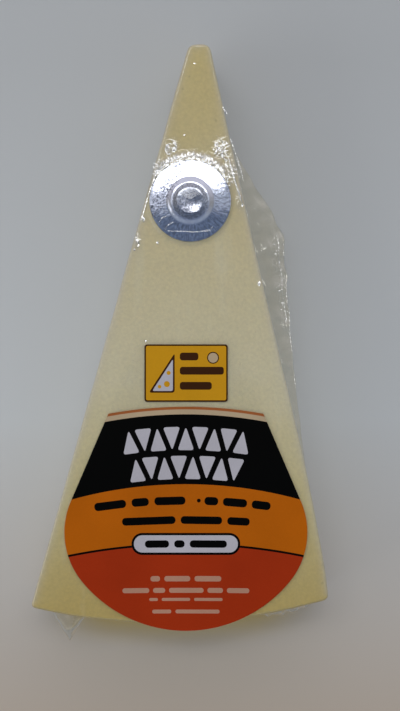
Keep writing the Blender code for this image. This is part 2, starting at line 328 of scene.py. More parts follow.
# %% [markdown]
# ## The plan of the wedge
#
# A wedge is cut from a wheel: two long straight cuts, an arc of the wheel's rim, and a
# nose that is cut off square. Its plan could be traced as a list of points. It is worked
# out instead from the angles of the cuts and the radius of the wheel, so that the
# cheese, the film and the solid beneath all agree. The right cut swells a little.

# %% Draw the plan
# Each long cut: its angle from -Y, its side, how far it swells and how far it is moved out
LEFT_CUT = (math.radians(15.7), -1, 0.0, 0.0)
RIGHT_CUT = (math.radians(12.1), 1, 1.2 * MM, 0.4 * MM)
BELLY_TO_RIND = 3.0
NOSE_CUT = 9.5 * MM
RIND_ROUND, NOSE_ROUND, EDGE_ROUND = 1.5 * MM, 2.1 * MM, 0.6 * MM
CUT_STEPS, RIND_STEPS, CORNER_STEPS = 60, 90, 16


def cut_length(cut):
    """How far the straight cut runs before it meets the rim of the wheel."""
    angle, side = cut[:2]
    middle = Vector((side * math.sin(angle), -math.cos(angle))).dot(WHEEL_AXIS)
    return middle + math.sqrt(middle**2 - WHEEL_AXIS.length_squared + WHEEL_RADIUS**2)


def cut_point(cut, distance):
    """A point of a long cut, at a distance from where the cuts would meet."""
    angle, side, belly, shift = cut
    along = Vector((side * math.sin(angle), -math.cos(angle)))
    outward = Vector((side * math.cos(angle), math.sin(angle)))
    share = (distance / cut_length(cut)) ** BELLY_TO_RIND
    return along * distance + outward * (shift + 4.0 * belly * share * (1.0 - share))


def cut_line(cut):
    start, length = NOSE_CUT / math.cos(cut[0]), cut_length(cut)
    return [cut_point(cut, start + (length - start) * i / CUT_STEPS) for i in range(CUT_STEPS + 1)]


def arc(centre, radius, start, end, steps):
    angles = [start + (end - start) * i / steps for i in range(steps + 1)]
    return [centre + radius * Vector((math.cos(a), math.sin(a))) for a in angles]


def shortened(line, cut):
    """The line without a given length at its start."""
    for i in range(len(line) - 1):
        step = (line[i + 1] - line[i]).length
        if step > cut:
            return [line[i].lerp(line[i + 1], cut / step), *line[i + 1 :]]
        cut -= step
    return line[-1:]


def corner_curve(before, corner, after, steps=CORNER_STEPS):
    """A smooth curve that rounds a corner, with both its ends."""
    shares = [i / steps for i in range(steps + 1)]
    return [before.lerp(corner, t).lerp(corner.lerp(after, t), t) for t in shares]


def wedge_sides():
    """Left cut, rind, right cut and nose, counter-clockwise, each from mid corner to mid corner."""
    left, right = cut_line(LEFT_CUT), cut_line(RIGHT_CUT)[::-1]
    first, last = (math.atan2(*(p - WHEEL_AXIS).yx) for p in (left[-1], right[0]))
    rind = arc(WHEEL_AXIS, WHEEL_RADIUS, first, last, RIND_STEPS)
    lines = [left, rind, right, [right[-1], left[0]]]
    rounds = [NOSE_ROUND, RIND_ROUND, RIND_ROUND, NOSE_ROUND, NOSE_ROUND]
    ends = zip(lines, rounds, rounds[1:])
    runs = [shortened(shortened(line, a)[::-1], b)[::-1] for line, a, b in ends]
    corners = [corner_curve(runs[i][-1], lines[i][-1], runs[(i + 1) % 4][0]) for i in range(4)]
    mid = CORNER_STEPS // 2
    sides = [corners[i - 1][mid:] + runs[i][1:-1] + corners[i][: mid + 1] for i in range(4)]
    return [np.array([tuple(p) for p in side]) for side in sides]


SIDES = wedge_sides()
print("cuts, mm:", [round(cut_length(cut) / MM, 1) for cut in (LEFT_CUT, RIGHT_CUT)])

# %% [markdown]
# ## A grid over the plan
#
# Cheese and film both need a fine mesh that follows the plan: creases and pits are real
# relief here. Filling the outline with triangles would shade unevenly. A Coons patch
# blends the four sides into rows and columns of quads instead, and the same outline,
# repeated at other heights, makes the rounded edges and the upright sides.

# %% Build a block over the plan
def lengths_along(points):
    return np.cumsum(np.linalg.norm(np.diff(points, axis=0), axis=1))


LENGTHS = [lengths_along(side)[-1] for side in SIDES]
AROUND = sum(LENGTHS)
OUTLINE = np.concatenate([side[:-1] for side in SIDES] + [SIDES[0][:1]])
OUTLINE_REACH = np.concatenate([[0.0], lengths_along(OUTLINE)])
TURN_WINDOW = 0.35 * MM  # half of the length over which a corner's direction is taken
FINE_AT, FINE_HALF, FINE_BOOST = 0.285, 0.13, 2.6  # rows are closest together by the seal
END_HALF, END_BOOST = 0.015, 5.0  # and close together at both ends, for the round corners
END_ROW = 0.0006  # the first and last rows are narrow, so that the faces stay flat up to them
WOBBLE, WOBBLE_SCALE = 0.25 * MM, 90.0


def smoothstep(t):
    t = np.clip(t, 0.0, 1.0)
    return t * t * (3.0 - 2.0 * t)


def noise_at(points, scale, seed=0.0):
    """Smooth noise from -1 to 1 at each point, for features 1 / scale metres across."""
    return np.array([noise.noise(Vector(p) * scale + Vector((seed, seed, seed))) for p in points])


def noise_on_plan(x, y, scale, seed=0.0):
    flat = np.stack([x.ravel(), y.ravel(), np.zeros(x.size)], axis=1)
    return noise_at(flat, scale, seed).reshape(x.shape)


def on_outline(reach):
    """Points of the closed outline at a distance round it, from the nose's left corner."""
    return np.stack([np.interp(reach % AROUND, OUTLINE_REACH, OUTLINE[:, k]) for k in (0, 1)], axis=1)


def perimeter_of(grid):
    """The border of a (rows, columns, ...) grid, counter-clockwise from the nose's left corner."""
    return np.concatenate([grid[:, 0], grid[-1, 1:], grid[-2::-1, -1], grid[0, -2:0:-1]])


def row_shares(rows):
    """Shares of the length at which the rows lie, closer together round the seal."""
    s = np.linspace(0.0, 1.0, 2001)
    density = 1.0 + FINE_BOOST * np.exp(-(((s - FINE_AT) / FINE_HALF) ** 4))
    density += END_BOOST * (np.exp(-((s / END_HALF) ** 2)) + np.exp(-(((1.0 - s) / END_HALF) ** 2)))
    reach = np.concatenate([[0.0], np.cumsum((density[1:] + density[:-1]) / 2)])
    shares = np.interp(np.linspace(0.0, reach[-1], rows + 1), reach, s)
    shares[1], shares[-2] = END_ROW, 1.0 - END_ROW
    return shares


def coons(left, rind, right, nose):
    """A (rows, columns, 2) grid between four border lines."""
    v = row_shares(len(left) - 1)[:, None, None]
    u = np.linspace(0.0, 1.0, len(nose))[None, :, None]
    corners = (1 - u) * (1 - v) * nose[0] + u * (1 - v) * nose[-1]
    corners = corners + (1 - u) * v * rind[0] + u * v * rind[-1]
    return (1 - u) * left[:, None] + u * right[:, None] + ((1 - v) * nose[None] + v * rind[None]) - corners


def grid_on_plan(rows, columns, inset):
    """A grid moved in by an inset at its border, the border itself and its inward normals.

    The border strays a little from the drawn line, in slow waves, as a cut by wire does.
    """
    shares, even = row_shares(rows), np.linspace(0.0, 1.0, columns + 1)
    runs = [shares, even[1:], 1.0 - shares[-2::-1], 1.0 - even[-2:0:-1]]
    reach = np.concatenate([sum(LENGTHS[:i]) + run * LENGTHS[i] for i, run in enumerate(runs)])
    border = on_outline(reach)
    along = on_outline(reach + TURN_WINDOW) - on_outline(reach - TURN_WINDOW)
    inward = np.stack([-along[:, 1], along[:, 0]], axis=1)
    inward /= np.linalg.norm(inward, axis=1)[:, None]
    strays = noise_on_plan(border[:, 0], border[:, 1], WOBBLE_SCALE, 8.0)
    border = border + inward * (WOBBLE * (0.5 + 0.5 * strays))[:, None]
    moved = border + inward * inset
    left, rind = moved[: rows + 1], moved[rows : rows + columns + 1]
    right = moved[rows + columns : 2 * rows + columns + 1][::-1]
    nose = np.concatenate([moved[2 * rows + columns :], moved[:1]])[::-1]
    return coons(left, rind, right, nose), border, inward


def edge_profile(low, high, radius, bend_steps, wall_steps):
    """(inset, height) down a side: rounded upper edge, upright wall, rounded lower edge."""
    turns = [math.pi / 2 * i / bend_steps for i in range(bend_steps + 1)]
    upper = [(radius * (1 - math.sin(t)), high - radius * (1 - math.cos(t))) for t in turns]
    wall = [high - radius + (low - high + 2 * radius) * i / wall_steps for i in range(1, wall_steps)]
    lower = [(inset, high + low - z) for inset, z in upper[::-1]]
    return upper + [(0.0, z) for z in wall] + lower


def two_sheets(ids, below):
    """Quads of a grid of point numbers, and of the same grid further down the list, turned over."""
    quads = np.stack([ids[:-1, :-1], ids[1:, :-1], ids[1:, 1:], ids[:-1, 1:]], axis=-1)
    return quads.reshape(-1, 4).tolist() + (below + quads[..., ::-1]).reshape(-1, 4).tolist()


def belt(upper, lower):
    """Quads between two closed loops of point numbers."""
    return np.stack([lower, np.roll(lower, -1), np.roll(upper, -1), upper], axis=-1).tolist()


def block_faces(rows, columns, rings):
    """Quads of the top grid, the rings below it and the bottom grid."""
    ids = np.arange((rows + 1) * (columns + 1)).reshape(rows + 1, columns + 1)
    count = 2 * (rows + columns)
    bottom_start = ids.size + rings * count
    loops = [perimeter_of(ids)]
    loops += [ids.size + k * count + np.arange(count) for k in range(rings)]
    loops += [bottom_start + perimeter_of(ids)]
    faces = two_sheets(ids, bottom_start)
    for upper, lower in zip(loops, loops[1:]):
        faces += belt(upper, lower)
    return faces


def mesh_piece(name, points, faces, material, smooth_angle=180.0, masks=None):
    """An object from points in the drawing, moved to where the wedge lies."""
    places = np.array(points, dtype=float)
    places[:, :2] += np.array(meeting_point)
    mesh = bpy.data.meshes.new(name)
    mesh.from_pydata(places.tolist(), [], faces)
    mesh.update()
    mesh.shade_smooth()
    if smooth_angle < 180.0:
        mesh.set_sharp_from_angle(angle=math.radians(smooth_angle))
    mesh.materials.append(material)
    for mask_name, values in (masks or {}).items():
        layer = mesh.attributes.new(mask_name, "FLOAT", "POINT")
        layer.data.foreach_set("value", np.asarray(values, np.float32))
    made = bpy.data.objects.new(name, mesh)
    scene.collection.objects.link(made)
    return made


print("length round the plan, mm:", round(AROUND / MM, 1))

# %% [markdown]
# ## The cheese
#
# Pecorino romano is hard and pale, the colour of straw, a little yellower at the nose
# and near the rind. Cut by wire, its faces are smooth, with fine grains, a few pinholes
# and faint smears. The pinholes are dented, with painted shade in their colour. A flat
# colour would look like plastic. Its colour comes from a gradient along the wedge, broken
# up by two sizes of noise. The cut edges are painted paler, painted light that keeps the
# rounded edges from going dark. Light gets into a waxy paste, so a little is let into the surface.

# %% Colour the cheese
CHEESE_STOPS = [
    (0.00, (0.640, 0.480, 0.130)),
    (0.12, (0.680, 0.530, 0.170)),
    (0.28, (0.785, 0.685, 0.335)),
    (0.50, (0.870, 0.795, 0.530)),
    (0.75, (0.840, 0.735, 0.430)),
    (1.00, (0.810, 0.670, 0.290)),
]
# Painted light: the cut edges fade to this paler colour, so the rounded edges don't go dark
PAINTED_LIGHT_EDGE = (0.745, 0.700, 0.575)
PALE_SMEAR = (0.900, 0.850, 0.620)
# Painted shade in the pinholes, which are also dented by the bump
PINHOLE_PAINTED_SHADE = (0.330, 0.270, 0.130)


def mottle_group():
    """Soft uneven patches: one output for broad patches and one for fine grains."""
    inputs = {"Place": "Vector", "Broad Scale": "Float", "Fine Scale": "Float"}
    group, start, end = new_group("mottle", inputs, {"Broad": "Float", "Fine": "Float"})
    for size, detail in (("Broad", 3.0), ("Fine", 5.0)):
        fill(group, end, {size: cloud(group, (start, "Place"), (start, size + " Scale"), detail, 0.55)})
    return group


MOTTLE = mottle_group()


def mottled(tree, place, broad, fine):
    made = use_group(tree, MOTTLE, {"Place": place, "Broad Scale": broad, "Fine Scale": fine})
    return (made, "Broad"), (made, "Fine")


def cheese_material():
    material, tree, shader, place = new_material("pecorino_paste")
    split = add(tree, "SeparateXYZ", {"Vector": place})
    broad, fine = mottled(tree, place, 90.0, 1400.0)
    along = remap(tree, (split, "Y"), wedge_low.y, wedge_high.y)
    base = ramp(tree, compute(tree, "MULTIPLY_ADD", broad, 0.10, along), CHEESE_STOPS)
    # painted light along the cut edges
    painted_edge_light = blend(tree, mask(tree, "edge"), base, PAINTED_LIGHT_EDGE)
    drawn_out = add(tree, "Mapping", {"Vector": place, "Scale": (1.0, 0.18, 1.0)}), "Vector"
    smear = remap(tree, cloud(tree, drawn_out, 260.0), 0.60, 0.80, 0.0, 0.35)
    smeared = blend(tree, smear, painted_edge_light, PALE_SMEAR)
    grain = ramp(tree, fine, [(0.30, shade(0.93)), (0.70, shade(1.04))])
    grained = blend(tree, 1.0, smeared, grain, "MULTIPLY")
    holes = add(tree, "TexVoronoi", {"Vector": place, "Scale": 130.0, "Randomness": 1.0}), "Distance"
    # pinholes: a small dent in the bump and painted shade in their colour
    pit = remap(tree, holes, 0.050, 0.030, 0.0, 0.25)
    sockets = {
        "Base Color": blend(tree, pit, grained, PINHOLE_PAINTED_SHADE),
        "Roughness": remap(tree, fine, 0.0, 1.0, 0.42, 0.62),
        "Normal": bumpy(tree, compute(tree, "SUBTRACT", fine, pit), 0.35, 0.12 * MM),
        "Subsurface Weight": 0.12,
        "Subsurface Scale": 1.2 * MM,
        "Subsurface Radius": (1.0, 0.75, 0.40),
    }
    fill(tree, shader, sockets)
    return material


cheese_finish = cheese_material()
print("cheese finish:", len(cheese_finish.node_tree.nodes), "nodes")

# %% Shape the cheese
FILM_GAP = 0.05 * MM  # between the cheese and the film drawn over it
CHEESE_ROWS, CHEESE_COLUMNS = 190, 90
CHEESE_EDGE = 0.5 * MM
SETTLED = 2.5 * MM  # the faces are even this close to their edges
PAINTED_LIGHT_REACH = 0.75 * MM


def distance_to_border(points):
    """How far each (x, y) lies inside the plan, roughly, from the cuts, the rind and the nose."""
    x, y = points[:, 0], points[:, 1]
    cuts = []
    for angle, side, belly, shift in (LEFT_CUT, RIGHT_CUT):
        inside = -side * x * math.cos(angle) - y * math.sin(angle)
        down = side * x * math.sin(angle) - y * math.cos(angle)
        share = np.clip(down / cut_length((angle, side)), 0.0, 1.0) ** BELLY_TO_RIND
        cuts.append(inside + shift + 4.0 * belly * share * (1.0 - share))
    return *cuts, WHEEL_RADIUS - np.hypot(x - WHEEL_AXIS.x, y - WHEEL_AXIS.y), -y - NOSE_CUT


def make_cheese():
    rows, columns = CHEESE_ROWS, CHEESE_COLUMNS
    low, high = FILM_GAP, THICKNESS - FILM_GAP
    profile = edge_profile(low, high, CHEESE_EDGE, 6, 24)
    grid, border, inward = grid_on_plan(rows, columns, FILM_GAP + profile[0][0])
    flat = grid.reshape(-1, 2)
    top, bottom = (np.column_stack([flat, np.full(len(flat), z)]) for z in (high, low))
    rings = []
    for inset, z in profile[1:-1]:
        ring = border + inward * (inset + FILM_GAP)
        rings.append(np.column_stack([ring, np.full(len(ring), z)]))
    points = np.vstack([top, *rings, bottom])
    left, right, rind, nose = distance_to_border(points)
    inside = np.minimum(np.minimum(left, right), np.minimum(rind, nose)) - CHEESE_EDGE
    wall = np.minimum(points[:, 2] - low, high - points[:, 2]) - CHEESE_EDGE
    uneven = noise_at(points, 90.0, 3.0) * 0.08 * MM + noise_at(points, 420.0, 9.0) * 0.04 * MM
    start, stop = len(top), len(points) - len(bottom)
    points[:start, 2] -= np.abs(uneven[:start]) * smoothstep(inside[:start] / SETTLED)
    points[stop:, 2] += np.abs(uneven[stop:]) * smoothstep(inside[stop:] / SETTLED)
    sunk = np.abs(uneven[start:stop]) * smoothstep(wall[start:stop] / SETTLED)
    points[start:stop, :2] += np.tile(inward, (len(rings), 1)) * sunk[:, None]
    # The mask of painted light: strongest at the cuts and the nose, none by the rind
    cut_near = np.maximum(np.minimum(np.minimum(left, right), nose), 0.0)
    edge = 0.95 * np.exp(-cut_near / PAINTED_LIGHT_REACH) * smoothstep(rind / (2.0 * MM))
    faces = block_faces(rows, columns, len(rings))
    return mesh_piece("cheese", points, faces, cheese_finish, masks={"edge": edge})


cheese = make_cheese()
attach(cheese, BODY)
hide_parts("wrapped_wedge")
print("cheese:", len(cheese.data.polygons), "faces")

# %% [markdown]
# ## The clear film
#
# Shrink film is nearly invisible where it is tight. What shows is its gloss: it creases
# where it is stretched over the seal and gathers into a web of tiny folds that sparkle.
# Glass would bend the light and darken what it covers. Here a Transparent shader is
# mixed with a mirror, and a Fresnel node decides how much of each shows. Where the film
# is creased a mask makes the mirror stronger, because light meets many layers there.

# %% Make the film's finish
def crease_group():
    """A web of fine folds: their height, and a haze mask where they crowd together."""
    inputs = {"Place": "Vector", "Crinkle": "Float"}
    group, start, end = new_group("film_creases", inputs, {"Height": "Float", "Haze": "Float"})
    place = (start, "Place")
    bend = (cloud(group, place, 700.0)[0], "Color")
    shift = add(group, "VectorMath", {0: bend, "Scale": 1.4 * MM}, operation="SCALE"), "Vector"
    bent = measure(group, "ADD", "Vector", place, shift)
    folds = []
    for scale in (520.0, 1150.0):
        cells = add(group, "TexVoronoi", {"Vector": bent, "Scale": scale}, feature="DISTANCE_TO_EDGE")
        folds.append(remap(group, (cells, "Distance"), 0.0, 0.16, 1.0, 0.0, kind="SMOOTHSTEP"))
    both = compute(group, "MULTIPLY_ADD", folds[1], 0.5, folds[0])
    tall = compute(group, "MULTIPLY", both, (start, "Crinkle"))
    height = compute(group, "MULTIPLY_ADD", cloud(group, place, 160.0), 0.15, tall)
    fill(group, end, {"Height": height, "Haze": compute(group, "MULTIPLY", tall, 0.8, clamp=True)})
    return group


CREASES = crease_group()


def film_material(name, ply, most, sheen, roughness, tint, through):
    """Clear film. Its folds add up to `ply` to what it mirrors, which is `most` at most.

    `sheen` is added wherever the crinkle mask is 1, also between the fine folds.
    """
    material, tree, shader, place = new_material(name)
    crinkle = mask(tree, "crinkle")
    creases = use_group(tree, CREASES, {"Place": place, "Crinkle": crinkle})
    bump = bumpy(tree, (creases, "Height"), 0.8, 0.05 * MM)
    gloss = add(tree, "Fresnel", {"IOR": 1.52, "Normal": bump}), "Fac"
    folded = compute(tree, "MULTIPLY_ADD", (creases, "Haze"), ply, gloss)
    glossy = compute(tree, "MULTIPLY_ADD", crinkle, sheen, folded)
    seen = compute(tree, "MINIMUM", glossy, most)
    rough = remap(tree, cloud(tree, place, 300.0, 3.0), 0.0, 1.0, roughness * 0.6, roughness * 1.4)
    fill(tree, shader, {"Base Color": (*tint, 1.0), "Metallic": 1.0, "Roughness": rough, "Normal": bump})
    show_through(tree, seen, shader, through)
    return material


COOL, NEUTRAL, BRIGHT = (0.95, 0.96, 0.98), (0.93, 0.92, 0.90), (0.97, 0.97, 0.96)
# The loose film passes a little less light where it lies in two layers; its warm tint is painted bounce light
# from the cheese
CLEAR, TWO_LAYERS_PAINTED_WARM = (1.0, 1.0, 1.0), (0.990, 0.973, 0.915)
tight_film = film_material("clear_film", 0.18, 0.45, 0.26, 0.06, COOL, CLEAR)
loose_film = film_material("creased_film", 0.16, 0.45, 0.0, 0.09, NEUTRAL, TWO_LAYERS_PAINTED_WARM)
folded_film = film_material("folded_film", 0.10, 0.45, 0.40, 0.08, BRIGHT, CLEAR)
print("film finishes:", tight_film.name, loose_film.name, folded_film.name)

# %% [markdown]
# ## Tents and creases in the film
#
# The film is one closed skin round the cheese. Over the seal it stands up like a tent,
# and beyond the seal's rim it comes down as a short uneven skirt. The places of the
# creased patches are given from the seal's centre, in millimetres, with how far each
# reaches. A cloth simulation could pull film over a disc, but these few patches and
# ridges are quicker and stay where the real ones are.

# %% Draw the film's relief
SEAL_RADIUS = 9.5 * MM
SEAL_TOP_ABOVE_FACE = 0.5 * MM  # the gap below the seal and its thickness at the rim
SEAL_CROWN = 0.6 * MM
SEAL_BOSS_HEIGHT = 0.62 * MM
FILM_CLEARANCE = 0.08 * MM
RIM_LIFT = 0.04 * MM  # the film leaves the seal at the skirt's slope, a little above the rim
TENT_REACH_NEAR, TENT_REACH_FAR = 1.1 * MM, 0.6 * MM
# On the nose side the film leaves the rim as a skirt of uneven width before it drops
SKIRT_WIDTH, SKIRT_SLOPE = 1.45 * MM, 0.09
SKIRT_SCALE, SPIKE_SCALE = 7.0, 26.0
RIM_PLEATS, RIM_PLEAT_HEIGHT, RIM_PLEAT_REACH = 58, 0.008 * MM, 1.6 * MM
CREASE_HEIGHT = 0.10 * MM

# Creased patches: x, y, half width, half height (mm from the seal's centre), strength
CREASED_PATCHES = [
    (-4.3, 12.2, 1.5, 2.0, 0.7),
    (7.2, 11.8, 1.7, 2.4, 0.8),
    (9.2, 7.0, 1.3, 3.4, 0.9),
    (-7.6, 7.6, 1.0, 2.2, 0.8),
    (11.4, 1.6, 0.8, 3.6, 0.6),
    (-12.3, -9.2, 0.7, 1.9, 0.8),
    (-11.1, -4.2, 0.8, 0.7, 0.9),
]
# Stretched lines: their points (mm from the seal's centre) and height
STRETCHED_LINES = [
    ([(-7.6, 7.2), (-9.0, 4.0), (-10.4, -0.8), (-11.2, -4.2)], 0.30),
    ([(8.7, 10.8), (9.9, 6.6), (11.2, 2.6), (12.5, -1.4)], 0.30),
    ([(-4.6, 12.6), (-5.8, 9.8), (-7.6, 7.2)], 0.22),
]
STRETCHED_HALF = 0.30  # their half width, in mm


def patches_at(x, y):
    """How creased the film is at points given from the seal's centre, from 0 to 1."""
    most = np.zeros_like(x)
    for px, py, wide, tall, strength in CREASED_PATCHES:
        spread = ((x / MM - px) / wide) ** 2 + ((y / MM - py) / tall) ** 2
        most = np.maximum(most, strength * np.exp(-spread))
    return most


def gathered_at(x, y):
    """The same with the skirt beside the seal, where the film is gathered but smooth."""
    out = np.hypot(x, y)
    beside_rim = np.exp(-(((out - SEAL_RADIUS - 0.8 * MM) / (1.2 * MM)) ** 4))
    return np.maximum(patches_at(x, y), beside_rim * smoothstep(y / np.maximum(out, MM) * 1.6 - 0.2))


def distance_to_line(x, y, line):
    """Distance in mm to a line of points, and the share of the way along it."""
    best, share = np.full(x.shape, 1e9), np.zeros(x.shape)
    for i, ((ax, ay), (bx, by)) in enumerate(zip(line, line[1:])):
        dx, dy = bx - ax, by - ay
        t = np.clip(((x / MM - ax) * dx + (y / MM - ay) * dy) / (dx * dx + dy * dy), 0.0, 1.0)
        away = np.hypot(x / MM - ax - t * dx, y / MM - ay - t * dy)
        closer = away < best
        best = np.where(closer, away, best)
        share = np.where(closer, (i + t) / (len(line) - 1), share)
    return best, share


def seal_tent(x, y):
    """Height of the film over the seal and just round it."""
    out = np.hypot(x, y)
    lit = 0.5 + 0.5 * y / np.maximum(out, MM)  # 1 on the nose side, 0 on the rind side
    crown = SEAL_CROWN * (1.0 - (out / SEAL_RADIUS) ** 2)
    crown = np.maximum(crown, RIM_LIFT + SKIRT_SLOPE * (SEAL_RADIUS - out))
    boss = SEAL_BOSS_HEIGHT * (1.0 - smoothstep((out - 3.0 * MM) / (3.0 * MM)))
    over = SEAL_TOP_ABOVE_FACE + FILM_CLEARANCE + crown + boss
    rim = SEAL_TOP_ABOVE_FACE + FILM_CLEARANCE + RIM_LIFT
    unit_x, unit_y = x / np.maximum(out, MM), y / np.maximum(out, MM)
    uneven = 1.0 + 0.5 * noise_on_plan(SKIRT_SCALE * unit_x, SKIRT_SCALE * unit_y, 1.0, 12.0)
    uneven = uneven + 0.6 * noise_on_plan(SPIKE_SCALE * unit_x, SPIKE_SCALE * unit_y, 1.0, 31.0)
    skirt = SKIRT_WIDTH * np.maximum(uneven, 0.55) * smoothstep((lit - 0.62) / 0.28)
    beyond = np.maximum(out - SEAL_RADIUS, 0.0)
    gentle = SKIRT_SLOPE * np.minimum(beyond, skirt)
    reach = TENT_REACH_NEAR + (TENT_REACH_FAR - TENT_REACH_NEAR) * lit
    beside = (rim - gentle) * np.clip(1.0 - (beyond - skirt) / reach, 0.0, 1.0)
    angle = np.arctan2(y, x)
    wave = np.sin(RIM_PLEATS * angle) + 0.6 * np.sin(RIM_PLEATS * 1.37 * angle + 1.0)
    fade = np.exp(-np.abs(out - SEAL_RADIUS - 0.5 * MM) / RIM_PLEAT_REACH)
    pleats = RIM_PLEAT_HEIGHT * wave * fade * smoothstep(lit * 1.6 - 0.6)
    return np.where(out < SEAL_RADIUS, over, beside) + np.where(out > SEAL_RADIUS, pleats, 0.0)


def film_relief(x, y):
    """Height of the film above the face, at points of the drawing."""
    sx, sy = x - SEAL_PLACE.x, y - SEAL_PLACE.y
    relief = seal_tent(sx, sy) + 0.05 * MM * noise_on_plan(x, y, 110.0, 5.0)
    rough = np.abs(noise_on_plan(x, y, 700.0, 2.0)) + 0.6 * np.abs(noise_on_plan(x, y, 1500.0, 7.0))
    relief = relief + CREASE_HEIGHT * patches_at(sx, sy) * (0.75 - rough)
    for line, tall in STRETCHED_LINES:
        away, share = distance_to_line(sx, sy, line)
        ends = smoothstep(share * 6.0) * smoothstep((1.0 - share) * 6.0)
        relief = relief + tall * MM * np.exp(-((away / STRETCHED_HALF) ** 2)) * ends
    return relief


print("film over the seal's middle, mm:", np.round(film_relief(*np.array(SEAL_PLACE)[:, None]) / MM, 2))

# %% Wrap the film
FILM_ROWS, FILM_COLUMNS = 230, 116
UNDER_LAP_X, UNDER_LAP_HEIGHT = 3.0 * MM, 0.15 * MM
GATHER_DEPTH = 3.0 * MM  # how far the gathered film reaches down the sides
WALL_FOLD = 0.16 * MM


def make_film():
    rows, columns = FILM_ROWS, FILM_COLUMNS
    profile = edge_profile(0.0, THICKNESS, EDGE_ROUND, 5, 18)
    grid, border, inward = grid_on_plan(rows, columns, profile[0][0])
    x, y = grid[..., 0], grid[..., 1]
    relief = film_relief(x, y)
    top = np.column_stack([grid.reshape(-1, 2), (THICKNESS + relief).ravel()])
    border_relief = perimeter_of(relief)
    around = np.concatenate([[0.0], lengths_along(border)])
    rings = []
    for inset, z in profile[1:-1]:
        lifted = max(0.0, 1.0 - (THICKNESS - z) / EDGE_ROUND) ** 0.7
        wall = min(1.0, min(THICKNESS - z, z) / (3.0 * MM))
        rim = np.column_stack([around * 150.0, np.full(len(around), z * 55.0), np.zeros(len(around))])
        folds = np.maximum(0.5 - np.abs(noise_at(rim, 1.0, 4.0)) * 1.6, -0.2)  # never into the cheese
        ring = border + inward * (inset - WALL_FOLD * wall * folds)[:, None]
        rings.append(np.column_stack([ring, z + border_relief * lifted]))
    lap = UNDER_LAP_HEIGHT * np.exp(-(((x - UNDER_LAP_X - 0.06 * y) / (1.6 * MM)) ** 4))
    bottom = np.column_stack([grid.reshape(-1, 2), (UNDER_LAP_HEIGHT - lap).ravel()])
    points = np.vstack([top, *rings, bottom])
    crinkle = gathered_at(points[:, 0] - SEAL_PLACE.x, points[:, 1] - SEAL_PLACE.y)
    crinkle = 0.01 + crinkle * np.exp(-np.maximum(THICKNESS - points[:, 2], 0.0) / GATHER_DEPTH)
    crinkle[len(top) :] += 0.18
    masks = {"crinkle": np.clip(crinkle, 0.0, 1.0)}
    return mesh_piece("clear_film", points, block_faces(rows, columns, len(rings)), tight_film, masks=masks)


film = make_film()
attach(film, BODY)
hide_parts("wrapped_wedge")
print("film:", len(film.data.polygons), "faces")

# %% [markdown]
# ## The loose film
#
# Where the wrap was welded shut a seam of spare film stands out along the right cut. A
# pointed ear, folded over itself, and a short gathered tuck stick out past the rind. Each
# is two layers that cling together, so each is made as a thin closed strip: an upper and
# a lower sheet that share their edge. The pleats are waves that grow to the free edge.

# %% Make the loose film
SEAM_TOP_Y, SEAM_WIDEST_Y, SEAM_END_Y = -22.6 * MM, -56.2 * MM, -115.5 * MM
SEAM_WIDTH, SEAM_RISE, SEAM_FALL = 7.7 * MM, 1.3, 1.35
SEAM_HEIGHT, SEAM_DROOP = 17.0 * MM, 2.5 * MM
SEAM_PLEAT, SEAM_PLEATS = 0.5 * MM, 11
FLAP_ROOT = 1.0 * MM  # how far a flap starts inside the wedge
FLAP_THICK = 0.10 * MM
RIPPLE_SCALE, RIPPLE_HEIGHT = 420.0, 0.5 * MM


def pleat(share, count, phase=0.0):
    """A wave that is uneven enough to look gathered by hand."""
    turn = 2.0 * math.pi * count * share + phase
    return 0.65 * math.sin(turn) + 0.35 * math.sin(1.73 * turn + 1.1)


def step(t):
    return float(smoothstep(np.float64(t)))


def flap(name, steps, across, section, crinkle_at):
    """A closed strip of film. section(share) gives foot, outward, reach, height, droop and lift."""
    upper, lower, crinkle = [], [], []
    for i in range(steps + 1):
        share = i / steps
        foot, outward, reach, height, droop, lift = section(share)
        for k in range(across + 1):
            out = k / across
            place = foot + outward * (out * (reach + FLAP_ROOT) - FLAP_ROOT)
            ripple = noise.noise(Vector((place.x, place.y, 0.0)) * RIPPLE_SCALE) * RIPPLE_HEIGHT * out
            z = height - droop * out**2 + lift * out + ripple
            half = FLAP_THICK / 2 * (1.0 - out**6)
            upper.append((place.x, place.y, z + half))
            lower.append((place.x, place.y, z - half))
            crinkle.append(crinkle_at(share, out))
    ids = np.arange(len(upper)).reshape(steps + 1, across + 1)
    border = perimeter_of(ids)
    faces = two_sheets(ids, ids.size) + belt(border, ids.size + border)
    made = mesh_piece(name, upper + lower, faces, loose_film, masks={"crinkle": crinkle * 2})
    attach(made, BODY)
    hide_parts("wrapped_wedge")
    return made


def seam_width(y):
    if y > SEAM_WIDEST_Y:
        return SEAM_WIDTH * step(((SEAM_TOP_Y - y) / (SEAM_TOP_Y - SEAM_WIDEST_Y)) ** SEAM_RISE)
    return SEAM_WIDTH * max(0.0, (y - SEAM_END_Y) / (SEAM_WIDEST_Y - SEAM_END_Y)) ** SEAM_FALL


def seam_section(share):
    y = SEAM_TOP_Y + (SEAM_END_Y - SEAM_TOP_Y) * share
    angle = RIGHT_CUT[0]
    foot = cut_point(RIGHT_CUT, -y / math.cos(angle))
    outward = Vector((math.cos(angle), math.sin(angle)))
    wide = seam_width(y) / SEAM_WIDTH
    reach = seam_width(y) * (1.0 + 0.05 * pleat(share, SEAM_PLEATS, 2.0))
    return foot, outward, reach, SEAM_HEIGHT, SEAM_DROOP * wide, SEAM_PLEAT * wide * pleat(share, SEAM_PLEATS)


def seam_crinkle(share, out):
    """The seam is most creased in its outer half, a third of the way down."""
    middle = math.exp(-(((share - 0.46) / 0.17) ** 2))
    return min(1.0, 0.10 + 0.80 * middle * step((out - 0.45) / 0.3))


